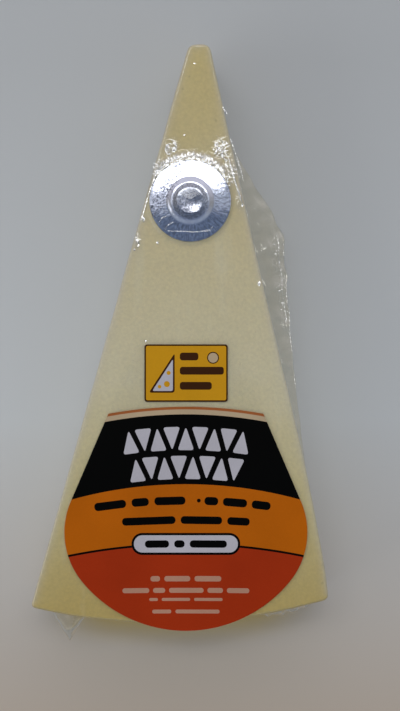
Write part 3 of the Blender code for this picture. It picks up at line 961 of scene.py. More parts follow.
seam = flap("film_seam", 300, 20, seam_section, seam_crinkle)
print("seam:", len(seam.data.polygons), "faces")

# %% Make the ear and the tuck
EAR_X, EAR_WIDTH, EAR_LENGTH, EAR_PEAK = -31.0 * MM, 8.5 * MM, 7.3 * MM, 0.66
EAR_HEIGHT, EAR_DROOP = 24.0 * MM, 3.0 * MM
TUCK_X, TUCK_WIDTH, TUCK_LENGTH = 20.0 * MM, 15.0 * MM, 2.2 * MM
TUCK_HEIGHT, TUCK_DROOP = 24.0 * MM, 1.2 * MM
TUCK_PLEAT, TUCK_PLEATS = 0.6 * MM, 5


def ear_reach(share):
    return share / EAR_PEAK if share < EAR_PEAK else (1.0 - share) / (1.0 - EAR_PEAK)


def folded_half(share):
    """The half of the ear that is folded over, from its fold to its end."""
    return 1.0 - share


def tuck_reach(share):
    return math.sin(math.pi * share) ** 0.6 * (0.8 + 0.2 * pleat(share, TUCK_PLEATS, 0.7))


def tuck_wave(share):
    return TUCK_PLEAT * pleat(share, TUCK_PLEATS)


def still(share):
    return 0.0


def rim_flap(name, steps, across, middle_x, width, length, height, droop, reach, wave, crinkle):
    """A flap that stands on the rind."""

    def section(share):
        x = middle_x + width * (share - 0.5)
        rise = math.sqrt(WHEEL_RADIUS**2 - (x - WHEEL_AXIS.x) ** 2)
        outward = Vector(((x - WHEEL_AXIS.x) / WHEEL_RADIUS, -rise / WHEEL_RADIUS))
        far = reach(share)
        return Vector((x, WHEEL_AXIS.y - rise)), outward, length * far, height, droop * far, wave(share) * far

    return flap(name, steps, across, section, lambda share, out: crinkle)


HALF_X, HALF_WIDTH = EAR_X + EAR_WIDTH * EAR_PEAK / 2, EAR_WIDTH * (1.0 - EAR_PEAK)
ear_at = (EAR_X, EAR_WIDTH, EAR_LENGTH, EAR_HEIGHT, EAR_DROOP)
half_at = (HALF_X, HALF_WIDTH, EAR_LENGTH * 0.97, EAR_HEIGHT + 0.4 * MM, EAR_DROOP)
tuck_at = (TUCK_X, TUCK_WIDTH, TUCK_LENGTH, TUCK_HEIGHT, TUCK_DROOP)
loose_bits = (
    rim_flap("film_ear", 40, 24, *ear_at, ear_reach, still, 0.12),
    rim_flap("film_ear_half", 20, 24, *half_at, folded_half, still, 0.20),
    rim_flap("film_tuck", 90, 10, *tuck_at, tuck_reach, tuck_wave, 0.20),
)
print("ear and tuck:", sum(len(bit.data.polygons) for bit in loose_bits), "faces")

# %% [markdown]
# ## Single folds and blisters
#
# A few creases are sharper than the rest: long bright lines beside the seal, small
# curved ones over its near edge and single points of light where air is caught under
# the film. Each is a thin ridge swept along a short route, pinched at both ends. A
# steep ridge would mirror the dim room overhead and look grey, so they are low and lean
# a few degrees towards the nose: that is the slope which shows the soft box.

# %% Add the folds
# A fold's section, as shares of its half width and height: low and round, flat below
ROUND_TOP = [(1.0, 0.0), (0.7, 0.51), (0.35, 0.88), (0.0, 1.0), (-0.35, 0.88), (-0.7, 0.51), (-1.0, 0.0)]
FOLD_SECTION = [*ROUND_TOP, (0.0, -3.0)]
FOLD_SIDES = len(FOLD_SECTION)
FOLD_HEIGHT = 0.010 * MM
BEAD_HEIGHT, BEAD_LENGTH = 0.020 * MM, 1.0 * MM
LEAN = math.tan(math.radians(5.0))  # towards the nose, where the soft box hangs

# Routes in mm from the seal's centre, then half width and how white it looks
FACE_FOLDS = [
    ([(-11.5, -4.4), (-10.8, -4.0), (-10.9, -4.9)], 0.26, 1.0),
    ([(8.8, 10.4), (9.8, 6.6), (11.0, 2.6), (12.3, -1.2)], 0.17, 1.0),
    ([(-12.6, -7.4), (-12.5, -9.0), (-11.9, -9.8), (-12.3, -11.0)], 0.15, 0.7),
    ([(-4.6, 13.4), (-5.6, 12.4), (-5.4, 11.0), (-4.3, 10.9)], 0.16, 1.0),
    ([(-3.6, 14.0), (-3.3, 12.4), (-3.8, 11.2)], 0.16, 1.0),
    ([(6.0, 13.6), (6.3, 12.2), (5.6, 10.9)], 0.16, 1.0),
    ([(8.2, 12.0), (7.2, 10.6), (8.3, 9.4), (7.9, 7.9)], 0.16, 1.0),
    ([(7.2, 14.2), (7.7, 13.2), (7.1, 12.4)], 0.15, 1.0),
    ([(7.5, 21.9), (8.0, 21.0), (8.6, 20.2)], 0.16, 0.7),
    ([(-7.3, -5.2), (-6.4, -3.9), (-5.3, -3.7)], 0.15, 0.6),
    ([(-5.8, -6.8), (-5.2, -5.7), (-3.7, -4.9)], 0.15, 0.6),
    ([(-5.4, -7.0), (-1.6, -7.1), (1.8, -7.2), (4.7, -6.6)], 0.12, 0.5),
    ([(2.9, -7.2), (4.5, -6.9), (5.2, -5.9)], 0.12, 0.5),
]
# A stretched edge that glints in a row of short steps: its route and half width
GLINT_CHAIN, CHAIN_HALF = [(-7.6, 6.9), (-8.9, 3.6), (-10.3, -0.8), (-11.2, -4.0)], 0.15
# Blisters: x, y (mm from the seal's centre), half width, half length
BLISTERS = [
    (-1.4, 15.3, 0.22, 0.26),
    (1.0, 31.9, 0.26, 0.15),
    (-7.6, -9.7, 0.28, 0.34),
    (16.0, -19.2, 0.30, 0.60),
    (-10.3, -32.5, 0.24, 0.24),
    (-12.9, -11.3, 0.22, 0.30),
    (12.1, -1.0, 0.22, 0.45),
    (-5.2, 13.0, 0.26, 0.26),
]
# Patches of short glints: x, y, half width, half height (mm from the seal's centre), count
GLINT_PATCHES = [
    (9.3, 6.4, 1.3, 3.4, 30),
    (-7.5, 7.7, 0.9, 1.7, 14),
    (-4.3, 12.0, 1.4, 2.2, 22),
    (7.2, 12.0, 1.8, 2.4, 26),
]
GLINT_LENGTH, GLINT_WIDTH = (0.4, 1.3), (0.06, 0.15)  # mm, from the smallest to the largest
FRINGE_FROM, FRINGE_TO, FRINGE_COUNT = math.radians(40), math.radians(145), 70
# Long folds on the seam: share of its width and y in the drawing (mm) at both ends,
# half width, bead height and how white it looks
SEAM_FOLDS = [
    ((0.80, -54.0), (0.80, -76.0), 0.13, BEAD_HEIGHT, 0.12),
    ((0.97, -50.0), (0.97, -96.0), 0.13, BEAD_HEIGHT, 0.12),
    ((1.00, -29.2), (0.38, -40.6), 0.16, 0.0, 0.50),
]
SEAM_GLINTS, SEAM_GLINTS_Y = 30, (-55.0, -76.0)


def smooth_route(route, steps):
    """Points along a Catmull-Rom curve through the route."""
    ends = [2 * route[0] - route[1], *route, 2 * route[-1] - route[-2]]
    points = []
    for a, b, c, d in zip(ends, ends[1:], ends[2:], ends[3:]):
        for t in (i / steps for i in range(steps)):
            curve = 2 * b + (c - a) * t + (2 * a - 5 * b + 4 * c - d) * t**2
            points.append((curve + (3 * b - 3 * c + d - a) * t**3) / 2)
    return points + [route[-1]]


def ridge(route, half_width, lean=LEAN, bead=BEAD_HEIGHT):
    """Points and faces of a low ridge, pinched at both ends, that leans towards +Y."""
    points, faces, gone = [], [], 0.0
    for i, place in enumerate(route):
        share = i / (len(route) - 1)
        gone += (place - route[max(i - 1, 0)]).length
        along = (route[min(i + 1, len(route) - 1)] - route[max(i - 1, 0)]).normalized()
        side = Vector((along.y, -along.x, 0.0)).normalized()
        full = math.sin(math.pi * share) ** 0.5 if 0.0 < share < 1.0 else 0.05
        wave = bead * math.sin(2.0 * math.pi * gone / BEAD_LENGTH) * full
        for across, lift in FOLD_SECTION:
            out = side * across * half_width * full
            rise = lift * FOLD_HEIGHT * full + wave - lean * out.y
            points.append(place + out + Vector((0.0, 0.0, rise)))
    for i in range(len(route) - 1):
        for k in range(FOLD_SIDES):
            a, b = i * FOLD_SIDES + k, i * FOLD_SIDES + (k + 1) % FOLD_SIDES
            faces.append((a, b, b + FOLD_SIDES, a + FOLD_SIDES))
    faces.append(tuple(range(FOLD_SIDES))[::-1])
    faces.append(tuple(range(len(points) - FOLD_SIDES, len(points))))
    return points, faces


def on_film(x, y):
    """A point on the film, from mm beside the seal's centre."""
    place = SEAL_PLACE + Vector((x, y)) * MM
    relief = film_relief(np.array([place.x]), np.array([place.y]))[0]
    return Vector((place.x, place.y, THICKNESS + relief))


def on_seam(out, y):
    """A point near the seam's upper side, at a share of its width from the cut and a y in mm."""
    share = (y * MM - SEAM_TOP_Y) / (SEAM_END_Y - SEAM_TOP_Y)
    foot, outward, reach, height, droop, lift = seam_section(share)
    place = foot + outward * (out * reach)
    return Vector((place.x, place.y, height - droop * out**2 + lift * out + FLAP_THICK))


def glint(middle, angle, length, half_width, chance):
    """A short straight fold, tilted as one so that the soft box shows along all of it."""
    lean = math.tan(math.radians(chance.uniform(3.4, 6.6)))
    along = Vector((math.cos(angle), math.sin(angle), -lean * math.sin(angle)))
    route = [middle + along * length * (k / 8 - 0.5) for k in range(9)]
    return ridge(route, half_width, lean, 0.0)


def make_folds():
    chance = random.Random(11)
    points, faces, haze = [], [], []

    def keep(made, white):
        start = len(points)
        points.extend(made[0])
        faces.extend([tuple(start + i for i in face) for face in made[1]])
        haze.extend([white] * len(made[0]))

    def keep_glint(middle, longest=1.0):
        angle = chance.uniform(0.0, math.pi)
        length = chance.uniform(*GLINT_LENGTH) * longest * MM
        half_width = chance.uniform(*GLINT_WIDTH) * MM
        keep(glint(middle, angle, length, half_width, chance), chance.uniform(0.6, 1.0))

    for route, half_width, white in FACE_FOLDS:
        keep(ridge(smooth_route([on_film(*p) for p in route], 16), half_width * MM), white)
    for x, y, half_width, half_length in BLISTERS:
        keep(glint(on_film(x, y), math.pi / 2, 2 * half_length * MM, half_width * MM, chance), 1.0)
    for x, y, wide, tall, count in GLINT_PATCHES:
        for _ in range(count):
            turn, out = chance.uniform(0.0, 2.0 * math.pi), math.sqrt(chance.random())
            keep_glint(on_film(x + wide * out * math.cos(turn), y + tall * out * math.sin(turn)))
    for i in range(FRINGE_COUNT):
        turn = FRINGE_FROM + (FRINGE_TO - FRINGE_FROM) * (i + chance.uniform(-0.4, 0.4)) / FRINGE_COUNT
        length = chance.uniform(0.5, 1.5)
        rim = SEAL_RADIUS / MM + 0.7 * math.sin(turn) ** 2
        middle = on_film(rim * math.cos(turn), rim * math.sin(turn))
        middle += Vector((math.cos(turn), math.sin(turn), -LEAN)) * length / 2 * MM
        leant = turn + chance.uniform(-0.35, 0.35)
        keep(glint(middle, leant, length * MM, chance.uniform(0.08, 0.18) * MM, chance), 1.0)
    for first, last, half_width, bead, white in SEAM_FOLDS:
        stops = [np.array(first) + (np.array(last) - np.array(first)) * i / 10 for i in range(11)]
        places = [on_seam(*stop.tolist()) for stop in stops]
        keep(ridge(smooth_route(places, 16), half_width * MM, LEAN, bead), white)
    for _ in range(SEAM_GLINTS):
        y, out = chance.uniform(*SEAM_GLINTS_Y), chance.uniform(0.62, 0.97)
        keep_glint(on_seam(out, y), 0.45)
    steps = random.Random(23)
    stops = smooth_route([on_film(*p) for p in GLINT_CHAIN], 4)
    for start, end in zip(stops, stops[1:]):
        turn = math.atan2(end.y - start.y, end.x - start.x)
        length = (end - start).length * 1.15
        keep(glint((start + end) / 2, turn, length, CHAIN_HALF * MM, steps), 1.0)
    return mesh_piece("film_folds", points, faces, folded_film, smooth_angle=40.0, masks={"crinkle": haze})


folds = make_folds()
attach(folds, BODY)
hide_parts("wrapped_wedge")
print("folds:", len(folds.data.polygons), "faces")

# %% [markdown]
# ## The foil seal
#
# The seal is a disc of silver foil with a low dome on a ledge pressed into its middle
# and a shallow dish beside the centre. Foil is a mirror, so its form shows only in what
# it reflects: the disc is slightly domed, and its far half faces the soft box while its
# near half faces the dim room. Fine spokes and dents break the mirror up. They are finer
# than a mesh can hold, so they are bump, while the ledge, dome, dish and rim are geometry.

# %% Make the foil's finish
FOIL_BLUE = (0.760, 0.840, 0.970)
FOIL_LAVENDER = (0.840, 0.840, 0.970)
FOIL_PIT = (0.060, 0.070, 0.110)
SPOKES_PER_TURN, RINGS_PER_METRE = 110.0, 900.0
PITTED_TOWARDS = Vector((-0.86, 0.50, 0.0))  # the side where the foil is rubbed and pitted


def foil_material():
    material, tree, shader, place = new_material("embossed_foil")
    centred = measure(tree, "SUBTRACT", "Vector", place, (seal_middle.x, seal_middle.y, 0.0))
    split = add(tree, "SeparateXYZ", {"Vector": centred})
    flat = add(tree, "CombineXYZ", {"X": (split, "X"), "Y": (split, "Y")}), "Vector"
    out = measure(tree, "LENGTH", "Value", flat)
    angle = compute(tree, "ARCTAN2", (split, "Y"), (split, "X"))
    turns = compute(tree, "MULTIPLY", angle, SPOKES_PER_TURN / (2.0 * math.pi))
    rings = compute(tree, "MULTIPLY", out, RINGS_PER_METRE)
    polar = add(tree, "CombineXYZ", {"X": turns, "Y": rings}), "Vector"
    spokes = cloud(tree, polar, 1.0, 2.0, 0.6)
    broad, fine = mottled(tree, place, 220.0, 2600.0)
    height = compute(tree, "MULTIPLY_ADD", spokes, 0.9, fine)
    towards = measure(tree, "DOT_PRODUCT", "Value", flat, PITTED_TOWARDS)
    worn = remap(tree, towards, 4.2 * MM, 5.6 * MM)
    fresh = remap(tree, towards, 8.4 * MM, 7.0 * MM)
    pits = remap(tree, cloud(tree, place, 2600.0, 1.0), 0.53, 0.60)
    pitted = compute(tree, "MULTIPLY", compute(tree, "MULTIPLY", worn, fresh), pits)
    tint = blend(tree, broad, FOIL_BLUE, FOIL_LAVENDER)
    sparkle = ramp(tree, spokes, [(0.35, shade(0.58)), (0.62, shade(1.0))])
    # Inside the ledge the foil's colour is darker and speckled: painted shade on the dome, with speckles
    speckle_and_painted_shade = ramp(tree, fine, [(0.42, shade(0.36)), (0.57, shade(0.68))])
    inner = blend(tree, remap(tree, out, 4.5 * MM, 4.1 * MM), shade(1.0), speckle_and_painted_shade)
    zone = blend(tree, remap(tree, out, 5.4 * MM, 5.8 * MM), inner, sparkle)
    shiny = blend(tree, 1.0, tint, zone, "MULTIPLY")
    pressed = remap(tree, out, 4.0 * MM, 4.6 * MM, 0.14, 0.04)
    sockets = {
        "Base Color": blend(tree, pitted, shiny, FOIL_PIT),
        "Roughness": compute(tree, "MULTIPLY_ADD", fine, 0.10, pressed),
        "Normal": bumpy(tree, compute(tree, "MULTIPLY_ADD", pitted, 1.5, height), 0.15, 0.05 * MM),
        "Metallic": 1.0,
    }
    fill(tree, shader, sockets)
    return material


foil_finish = foil_material()
print("foil finish:", len(foil_finish.node_tree.nodes), "nodes")

# %% Press the seal
SEAL_THICK = 0.2 * MM
SEAL_LEDGE_RADIUS, SEAL_LEDGE_HEIGHT, SEAL_LEDGE_SLOPE = 5.6 * MM, 0.34 * MM, 1.2 * MM
SEAL_DOME_HEIGHT, SEAL_DOME_FLAT, SEAL_DOME_RADIUS = 0.26 * MM, 2.8 * MM, 4.3 * MM
DISH_DEPTH, DISH_REACH = 0.28 * MM, 2.3 * MM
DISH_PLACE = (1.2 * MM, -0.4 * MM)
SEAL_TURNS, SEAL_RINGS = 216, 96


def seal_height(x, y):
    """Height of the foil's upper face above its rim."""
    out = np.hypot(x, y)
    crown = SEAL_CROWN * (1.0 - (out / SEAL_RADIUS) ** 2)
    risen = np.clip((SEAL_LEDGE_RADIUS - out) / SEAL_LEDGE_SLOPE, 0.0, 1.0)
    ledge = SEAL_LEDGE_HEIGHT * (0.6 * risen + 0.4 * smoothstep(risen))
    dome = smoothstep((SEAL_DOME_RADIUS - out) / (SEAL_DOME_RADIUS - SEAL_DOME_FLAT))
    away = np.hypot(x - DISH_PLACE[0], y - DISH_PLACE[1])
    dish = DISH_DEPTH * np.exp(-((away / DISH_REACH) ** 2))
    bead = 0.015 * MM * np.exp(-(((out - SEAL_RADIUS + 0.25 * MM) / (0.14 * MM)) ** 2))
    dents = 0.03 * MM * noise_on_plan(x, y, 420.0, 1.5) + 0.012 * MM * noise_on_plan(x, y, 1300.0, 6.0)
    dents = dents * (1.0 - 0.4 * (out > SEAL_LEDGE_RADIUS))
    within = smoothstep((SEAL_DOME_RADIUS - out) / (1.0 * MM))
    return crown + ledge + SEAL_DOME_HEIGHT * dome - dish * within + bead + dents


def make_seal():
    turns = np.arange(SEAL_TURNS) * 2.0 * math.pi / SEAL_TURNS
    low = seal_low.z
    points, faces = [], []

    def ring(radius, z=None):
        x, y = radius * np.cos(turns), radius * np.sin(turns)
        height = low + SEAL_THICK + seal_height(x, y) if z is None else np.full(SEAL_TURNS, z)
        points.extend(np.column_stack([x, y, height]).tolist())

    ring(SEAL_RADIUS - 0.05 * MM, low)
    ring(SEAL_RADIUS, low + SEAL_THICK / 2)
    for i in range(SEAL_RINGS):
        ring((SEAL_RADIUS - 0.04 * MM) * (1.0 - i / SEAL_RINGS))
    centre = len(points)
    loops = np.arange(centre).reshape(-1, SEAL_TURNS)
    for outer, inner in zip(loops, loops[1:]):
        faces += belt(inner, outer)
    middle = float(seal_height(np.array([0.0]), np.array([0.0]))[0])
    points.append([0.0, 0.0, low + SEAL_THICK + middle])
    faces += [(int(a), int(b), centre) for a, b in zip(loops[-1], np.roll(loops[-1], -1))]
    faces.append(tuple(loops[0][::-1].tolist()))
    places = np.array(points)
    places[:, :2] += np.array(SEAL_PLACE)
    return mesh_piece("embossed_seal", places, faces, foil_finish, smooth_angle=50.0)


seal = make_seal()
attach(seal, BODY)
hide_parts("foil_seal")
print("seal:", len(seal.data.polygons), "faces")

# %% [markdown]
# ## The label's inks
#
# The label is clear stock printed in a few flat inks: black, amber, a brick red, white
# and a dark brown. Print lies in a thin even layer, so its finish is a matt gloss with a
# faint grain, and the same grain group serves every ink. Only the colours differ.

# %% Mix the inks
INKS = {
    "ink_black": (0.0006, 0.0007, 0.0005),
    "ink_amber": (0.585, 0.140, 0.003),
    "ink_red": (0.440, 0.037, 0.006),
    "ink_white": (0.600, 0.580, 0.620),
    "ink_brown": (0.055, 0.018, 0.005),
    "ink_gold": (0.720, 0.350, 0.012),
    "ink_orange": (0.430, 0.135, 0.040),
    "ink_rose": (0.560, 0.300, 0.200),
    "ink_cream": (0.590, 0.450, 0.280),
}


def print_group():
    """The even but slightly grainy look of a printed layer."""
    inputs = {"Place": "Vector", "Ink": "Color"}
    group, start, end = new_group("print_grain", inputs, {"Color": "Color", "Grain": "Float"})
    grain = cloud(group, (start, "Place"), 2600.0, 3.0)
    both = compute(group, "MULTIPLY_ADD", grain, 0.35, cloud(group, (start, "Place"), 70.0))
    level = ramp(group, both, [(0.35, shade(0.88)), (1.0, shade(1.10))])
    fill(group, end, {"Color": blend(group, 1.0, (start, "Ink"), level, "MULTIPLY"), "Grain": grain})
    return group


PRINT = print_group()


def ink_material(name, color):
    material, tree, shader, place = new_material(name)
    layer = use_group(tree, PRINT, {"Ink": (*color, 1.0), "Place": place})
    sockets = {
        "Base Color": (layer, "Color"),
        "Roughness": remap(tree, (layer, "Grain"), 0.0, 1.0, 0.34, 0.48),
        "Normal": bumpy(tree, (layer, "Grain"), 0.06, 0.02 * MM),
        "Specular IOR Level": 0.04,
    }
    fill(tree, shader, sockets)
    return material


def stock_material():
    """The unprinted part of the label: clear stock with a soft gloss."""
    material, tree, shader, place = new_material("clear_stock")
    grain = cloud(tree, place, 500.0, 3.0)
    bump = bumpy(tree, grain, 0.1, 0.03 * MM)
    rough = remap(tree, grain, 0.0, 1.0, 0.20, 0.34)
    tint = (0.95, 0.95, 0.96, 1.0)
    fill(tree, shader, {"Base Color": tint, "Metallic": 1.0, "Roughness": rough, "Normal": bump})
    show_through(tree, (add(tree, "Fresnel", {"IOR": 1.08, "Normal": bump}), "Fac"), shader)
    return material


label_materials = {name: ink_material(name, color) for name, color in INKS.items()}
label_materials["clear_stock"] = stock_material()
print("inks:", ", ".join(label_materials))

# %% [markdown]
# ## Drawing the label
#
# The label is drawn in millimetres from the middle of its lower edge. Its fields are
# bounded by gentle arcs, and where such a label carries words this one has plain bars
# and a row of small wedges. An image would blur up close. Here every shape is a polygon,
# listed from the lowest layer to the top one, and all are cut into one flat sheet at
# once. Each triangle takes the ink of the last shape that covers it, so edges stay crisp.

# %% Draw the label's shapes
LABEL_MIDDLE_X, LABEL_LOW_Y, LABEL_HEIGHT = -3.2, -145.7, 67.5
LOBE_RADIUS = 31.1
SIDE_LEAN = math.radians(23.2)
SIDE_AT_X, SIDE_AT_Y = 18.8, 48.4
SHOULDER_RADIUS, LABEL_TOP_ROUND = 18.0, 2.0
LOBE_STEPS, SHOULDER_STEPS = 60, 16
UPPER_ARCH, LOWER_ARCH = 100.0, 136.0  # radii of the arcs that bound the fields


def label_outline():
    """The outline: a round lobe below, slanted sides above and small round top corners."""
    lobe = Vector((0.0, LOBE_RADIUS))
    upward = Vector((-math.sin(SIDE_LEAN), math.cos(SIDE_LEAN)))
    inward = Vector((-math.cos(SIDE_LEAN), -math.sin(SIDE_LEAN)))
    base = Vector((SIDE_AT_X, SIDE_AT_Y)) + inward * SHOULDER_RADIUS - lobe
    half = base.dot(upward)
    reach = LOBE_RADIUS - SHOULDER_RADIUS
    slide = -half - math.sqrt(half**2 - base.length_squared + reach**2)
    shoulder = lobe + base + upward * slide
    towards = shoulder - lobe
    meets = math.atan2(towards.y, towards.x)
    points = arc(lobe, LOBE_RADIUS, -math.pi / 2, meets, LOBE_STEPS)
    points += arc(shoulder, SHOULDER_RADIUS, meets, SIDE_LEAN, SHOULDER_STEPS)[1:]
    top_x = SIDE_AT_X - (LABEL_HEIGHT - SIDE_AT_Y) * math.tan(SIDE_LEAN)
    corner = Vector((top_x, LABEL_HEIGHT))
    before, after = corner - upward * LABEL_TOP_ROUND, corner - Vector((LABEL_TOP_ROUND, 0.0))
    right = [*points, *corner_curve(before, corner, after)]
    return right + [Vector((-p.x, p.y)) for p in right[:0:-1]]


def arched(peak, radius, along, up):
    """A point along an arc that peaks at a height over the label's middle line."""
    turn = along / radius
    return Vector((0.0, peak - radius)) + (radius + up) * Vector((math.sin(turn), math.cos(turn)))


def bent(shape, peak, radius=UPPER_ARCH):
    """A flat shape laid along an arc."""
    return [arched(peak, radius, p.x, p.y) for p in shape]


def band(peak, low, high, half_width, radius=UPPER_ARCH, steps=36):
    """A stripe that follows an arc, from low to high beside it."""
    places = [half_width * (2 * i / steps - 1) for i in range(steps + 1)]
    lower = [arched(peak, radius, s, low) for s in places]
    return lower + [arched(peak, radius, s, high) for s in places[::-1]]


def rounded_box(low, high, radius, steps=6):
    """A box with round corners, counter-clockwise."""
    (x0, y0), (x1, y1) = low, high
    points = []
    for i, (x, y, sx, sy) in enumerate([(x1, y0, -1, 1), (x1, y1, -1, -1), (x0, y1, 1, -1), (x0, y0, 1, 1)]):
        centre = Vector((x + sx * radius, y + sy * radius))
        points += arc(centre, radius, math.pi / 2 * (i - 1), math.pi / 2 * i, steps)
    return points


def rounded_polygon(corners, cut):
    points = []
    for i, corner in enumerate(corners):
        before = corner + (corners[i - 1] - corner).normalized() * cut
        after = corner + (corners[(i + 1) % len(corners)] - corner).normalized() * cut
        points += corner_curve(before, corner, after, 4)
    return points


def disc(centre, radius, steps=18):
    return arc(Vector(centre), radius, 0.0, 2.0 * math.pi * (1 - 1 / steps), steps - 1)


def bars(peak, lengths, gap, height, ink, radius=UPPER_ARCH, middle=0.0):
    """A row of rounded bars along an arc, centred on a place beside the middle line."""
    at = middle - (sum(lengths) + gap * (len(lengths) - 1)) / 2
    shapes = []
    for length in lengths:
        box = rounded_box((at, -height / 2), (at + length, height / 2), min(length, height) * 0.45, 4)
        shapes.append((ink, bent(box, peak, radius)))
        at += length + gap
    return shapes


def wedge_row(peak, count, width, height, gap, ink):
    """A row of little wedges that point up and down in turn."""
    at = -(count * width + (count - 1) * gap) / 2
    shapes = []
    for i in range(count):
        tip = 1 if i % 2 == 0 else -1
        corners = [(at, -tip), (at + width, -tip), (at + width / 2, tip)]
        triangle = [Vector((x, y * height / 2)) for x, y in corners][::tip]
        shapes.append((ink, bent(rounded_polygon(triangle, 0.7), peak)))
        at += width + gap
    return shapes


outline = label_outline()
print("label outline:", len(outline), "points")

# %% Lay out the print
WIDE, TALL = 40.0, 80.0  # bands run off both sides and the top
FIELD_TOP, BLACK_LOW, RED_TOP = 50.2, 34.0, 20.1
RULE_AT, RULE_WIDTH = 51.65, 0.62
PANEL_LOW, PANEL_HIGH, PANEL_BORDER = (-9.6, 53.1), (9.7, 66.4), 0.35
PILL_LOW, PILL_HIGH, PILL_BORDER = (-12.6, 17.6), (12.6, 22.7), 0.55
NEARLY_STRAIGHT = 900.0  # the radius of the lowest lines
# Rows of rose bars: height, lengths, gap and how tall they are
SMALL_ROWS = [
    (12.1, (2.2, 6.0, 6.2), 1.0, 1.25),
    (9.4, (6.2, 2.8, 8.0, 3.6, 5.2), 0.9, 1.15),
    (7.3, (2.0, 6.6, 6.6), 0.9, 0.7),
    (4.5, (4.4, 10.2), 1.0, 0.9),
]


def bordered_box(low, high, border, radii, inks, steps=6):
    """A rounded box with a smaller one in another ink on it."""
    inner_low, inner_high = [k + border for k in low], [k - border for k in high]
    boxes = ((low, high), (inner_low, inner_high))
    return [(ink, rounded_box(*box, radius, steps)) for ink, box, radius in zip(inks, boxes, radii)]


def panel_shapes():
    """The small gold panel: a plain wedge of cheese beside three bars."""
    shapes = bordered_box(PANEL_LOW, PANEL_HIGH, PANEL_BORDER, (0.6, 0.4), ("ink_brown", "ink_gold"))
    for ink, cut, corners in (
        ("ink_brown", 0.7, ((-8.6, 55.2), (-2.6, 55.2), (-2.6, 64.4))),
        ("ink_white", 0.5, ((-7.8, 55.6), (-3.0, 55.6), (-3.0, 63.0))),
    ):
        shapes.append((ink, rounded_polygon([Vector(p) for p in corners], cut)))
    for centre, radius in (((-4.4, 57.2), 0.70), ((-6.1, 56.6), 0.42), ((-4.0, 59.8), 0.48)):
        shapes.append(("ink_gold", disc(centre, radius)))
    for low, length in ((62.7, 4.3), (59.4, 10.2), (55.9, 7.4)):
        shapes.append(("ink_brown", rounded_box((-1.4, low), (-1.4 + length, low + 1.8), 0.6, 4)))
    return shapes + [("ink_brown", disc((6.3, 63.3), 1.4)), ("ink_cream", disc((6.3, 63.3), 1.15))]


def label_shapes():
    """Every printed shape from the lowest layer to the top one."""
    shapes = [
        ("ink_red", outline),
        ("ink_black", band(RED_TOP, -0.25, TALL, WIDE, LOWER_ARCH)),
        ("ink_amber", band(RED_TOP, 0.25, TALL, WIDE, LOWER_ARCH)),
        ("ink_black", band(BLACK_LOW, 0.0, TALL, WIDE)),
        ("ink_cream", band(FIELD_TOP, 0.0, TALL, WIDE)),
        ("ink_orange", band(RULE_AT, -RULE_WIDTH / 2, TALL, WIDE)),
        ("clear_stock", band(RULE_AT, RULE_WIDTH / 2, TALL, WIDE)),
    ]
    shapes += panel_shapes()
    shapes += wedge_row(44.6, 9, 3.9, 5.4, -0.65, "ink_white")
    shapes += wedge_row(37.9, 8, 3.9, 5.4, -0.65, "ink_white")
    shapes += bars(30.2, (7.4, 4.0, 7.2), 1.3, 1.9, "ink_black", 140.0, -10.7)
    shapes += [("ink_black", disc((3.0, 30.2), 0.45))]
    shapes += bars(30.2, (3.2, 5.6, 4.4), 1.1, 1.9, "ink_black", 140.0, 12.0)
    shapes += bars(25.7, (12.4, 9.6, 5.2), 1.2, 1.8, "ink_black", 230.0)
    shapes += bordered_box(PILL_LOW, PILL_HIGH, PILL_BORDER, (2.5, 1.95), ("ink_black", "ink_white"), 10)
    shapes += bars(20.15, (5.6, 2.4, 8.6), 1.2, 1.7, "ink_black", NEARLY_STRAIGHT)
    for peak, lengths, gap, height in SMALL_ROWS:
        shapes += bars(peak, lengths, gap, height, "ink_rose", NEARLY_STRAIGHT)
    return shapes


print("printed shapes:", len(label_shapes()))

# %% Cut and lay the label
LABEL_THICK = 0.16  # mm, the sheet itself
SPACING, SHEET_HALF = 2.4, 32  # mm: loose points that let the sheet bend, and how far out they lie
CREASE_X, CREASE_DEPTH = 16.6, 0.05


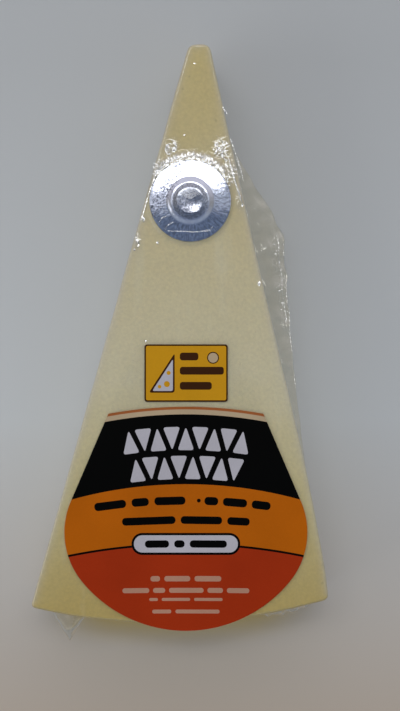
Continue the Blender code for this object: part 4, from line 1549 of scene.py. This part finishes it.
def sheet_height(x, y):
    """How the sheet waves, in mm: it is tight but not quite flat."""
    wave = 0.035 * noise.noise(Vector((x, y, 0.0)) * 0.11) + 0.012 * noise.noise(Vector((x, y, 3.0)) * 0.4)
    crease = CREASE_DEPTH * math.exp(-(((x - CREASE_X) / 0.5) ** 2)) * (1.0 if y < 30 else 0.3)
    return wave - crease


def make_label():
    shapes = label_shapes()
    points, faces = [], []
    for _, shape in shapes:
        faces.append(list(range(len(points), len(points) + len(shape))))
        points += [Vector((p.x, p.y)) for p in shape]
    for i in range(int(2 * SHEET_HALF / SPACING) + 1):
        for k in range(int(LABEL_HEIGHT / SPACING) + 1):
            points.append(Vector((-SHEET_HALF + SPACING * i, SPACING * k)))
    flat, _, triangles, _, _, covers = geometry.delaunay_2d_cdt(points, [], faces, 1, 1e-5)
    inked = [(t, max(c)) for t, c in zip(triangles, covers) if 0 in c]
    used = sorted({i for t, _ in inked for i in t})
    number = {old: new for new, old in enumerate(used)}
    tops = [Vector((flat[i].x, flat[i].y, sheet_height(flat[i].x, flat[i].y))) for i in used]
    bottoms = [p - Vector((0.0, 0.0, LABEL_THICK)) for p in tops]
    count = len(tops)
    names = list(label_materials)
    sheet, inks, edges = [], [], {}
    for triangle, top in inked:
        ink = names.index(shapes[top][0])
        a, b, c = (number[i] for i in triangle)
        if (tops[b] - tops[a]).cross(tops[c] - tops[a]).z < 0:
            b, c = c, b
        edges.update({(a, b): ink, (b, c): ink, (c, a): ink})
        sheet += [(a, b, c), (count + c, count + b, count + a)]
        inks += [ink] * 2
    for (a, b), ink in edges.items():
        if (b, a) not in edges:
            sheet.append((count + a, count + b, b, a))
            inks.append(ink)
    offset = Vector((LABEL_MIDDLE_X, LABEL_LOW_Y, (label_low.z + label_high.z) / 2 / MM))
    places = [(p + offset) * MM for p in tops + bottoms]
    made = mesh_piece("printed_label", places, sheet, label_materials[names[0]], smooth_angle=40.0)
    for name in names[1:]:
        made.data.materials.append(label_materials[name])
    made.data.polygons.foreach_set("material_index", inks)
    return made


label = make_label()
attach(label, BODY)
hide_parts("front_label")
print("label:", len(label.data.polygons), "faces")
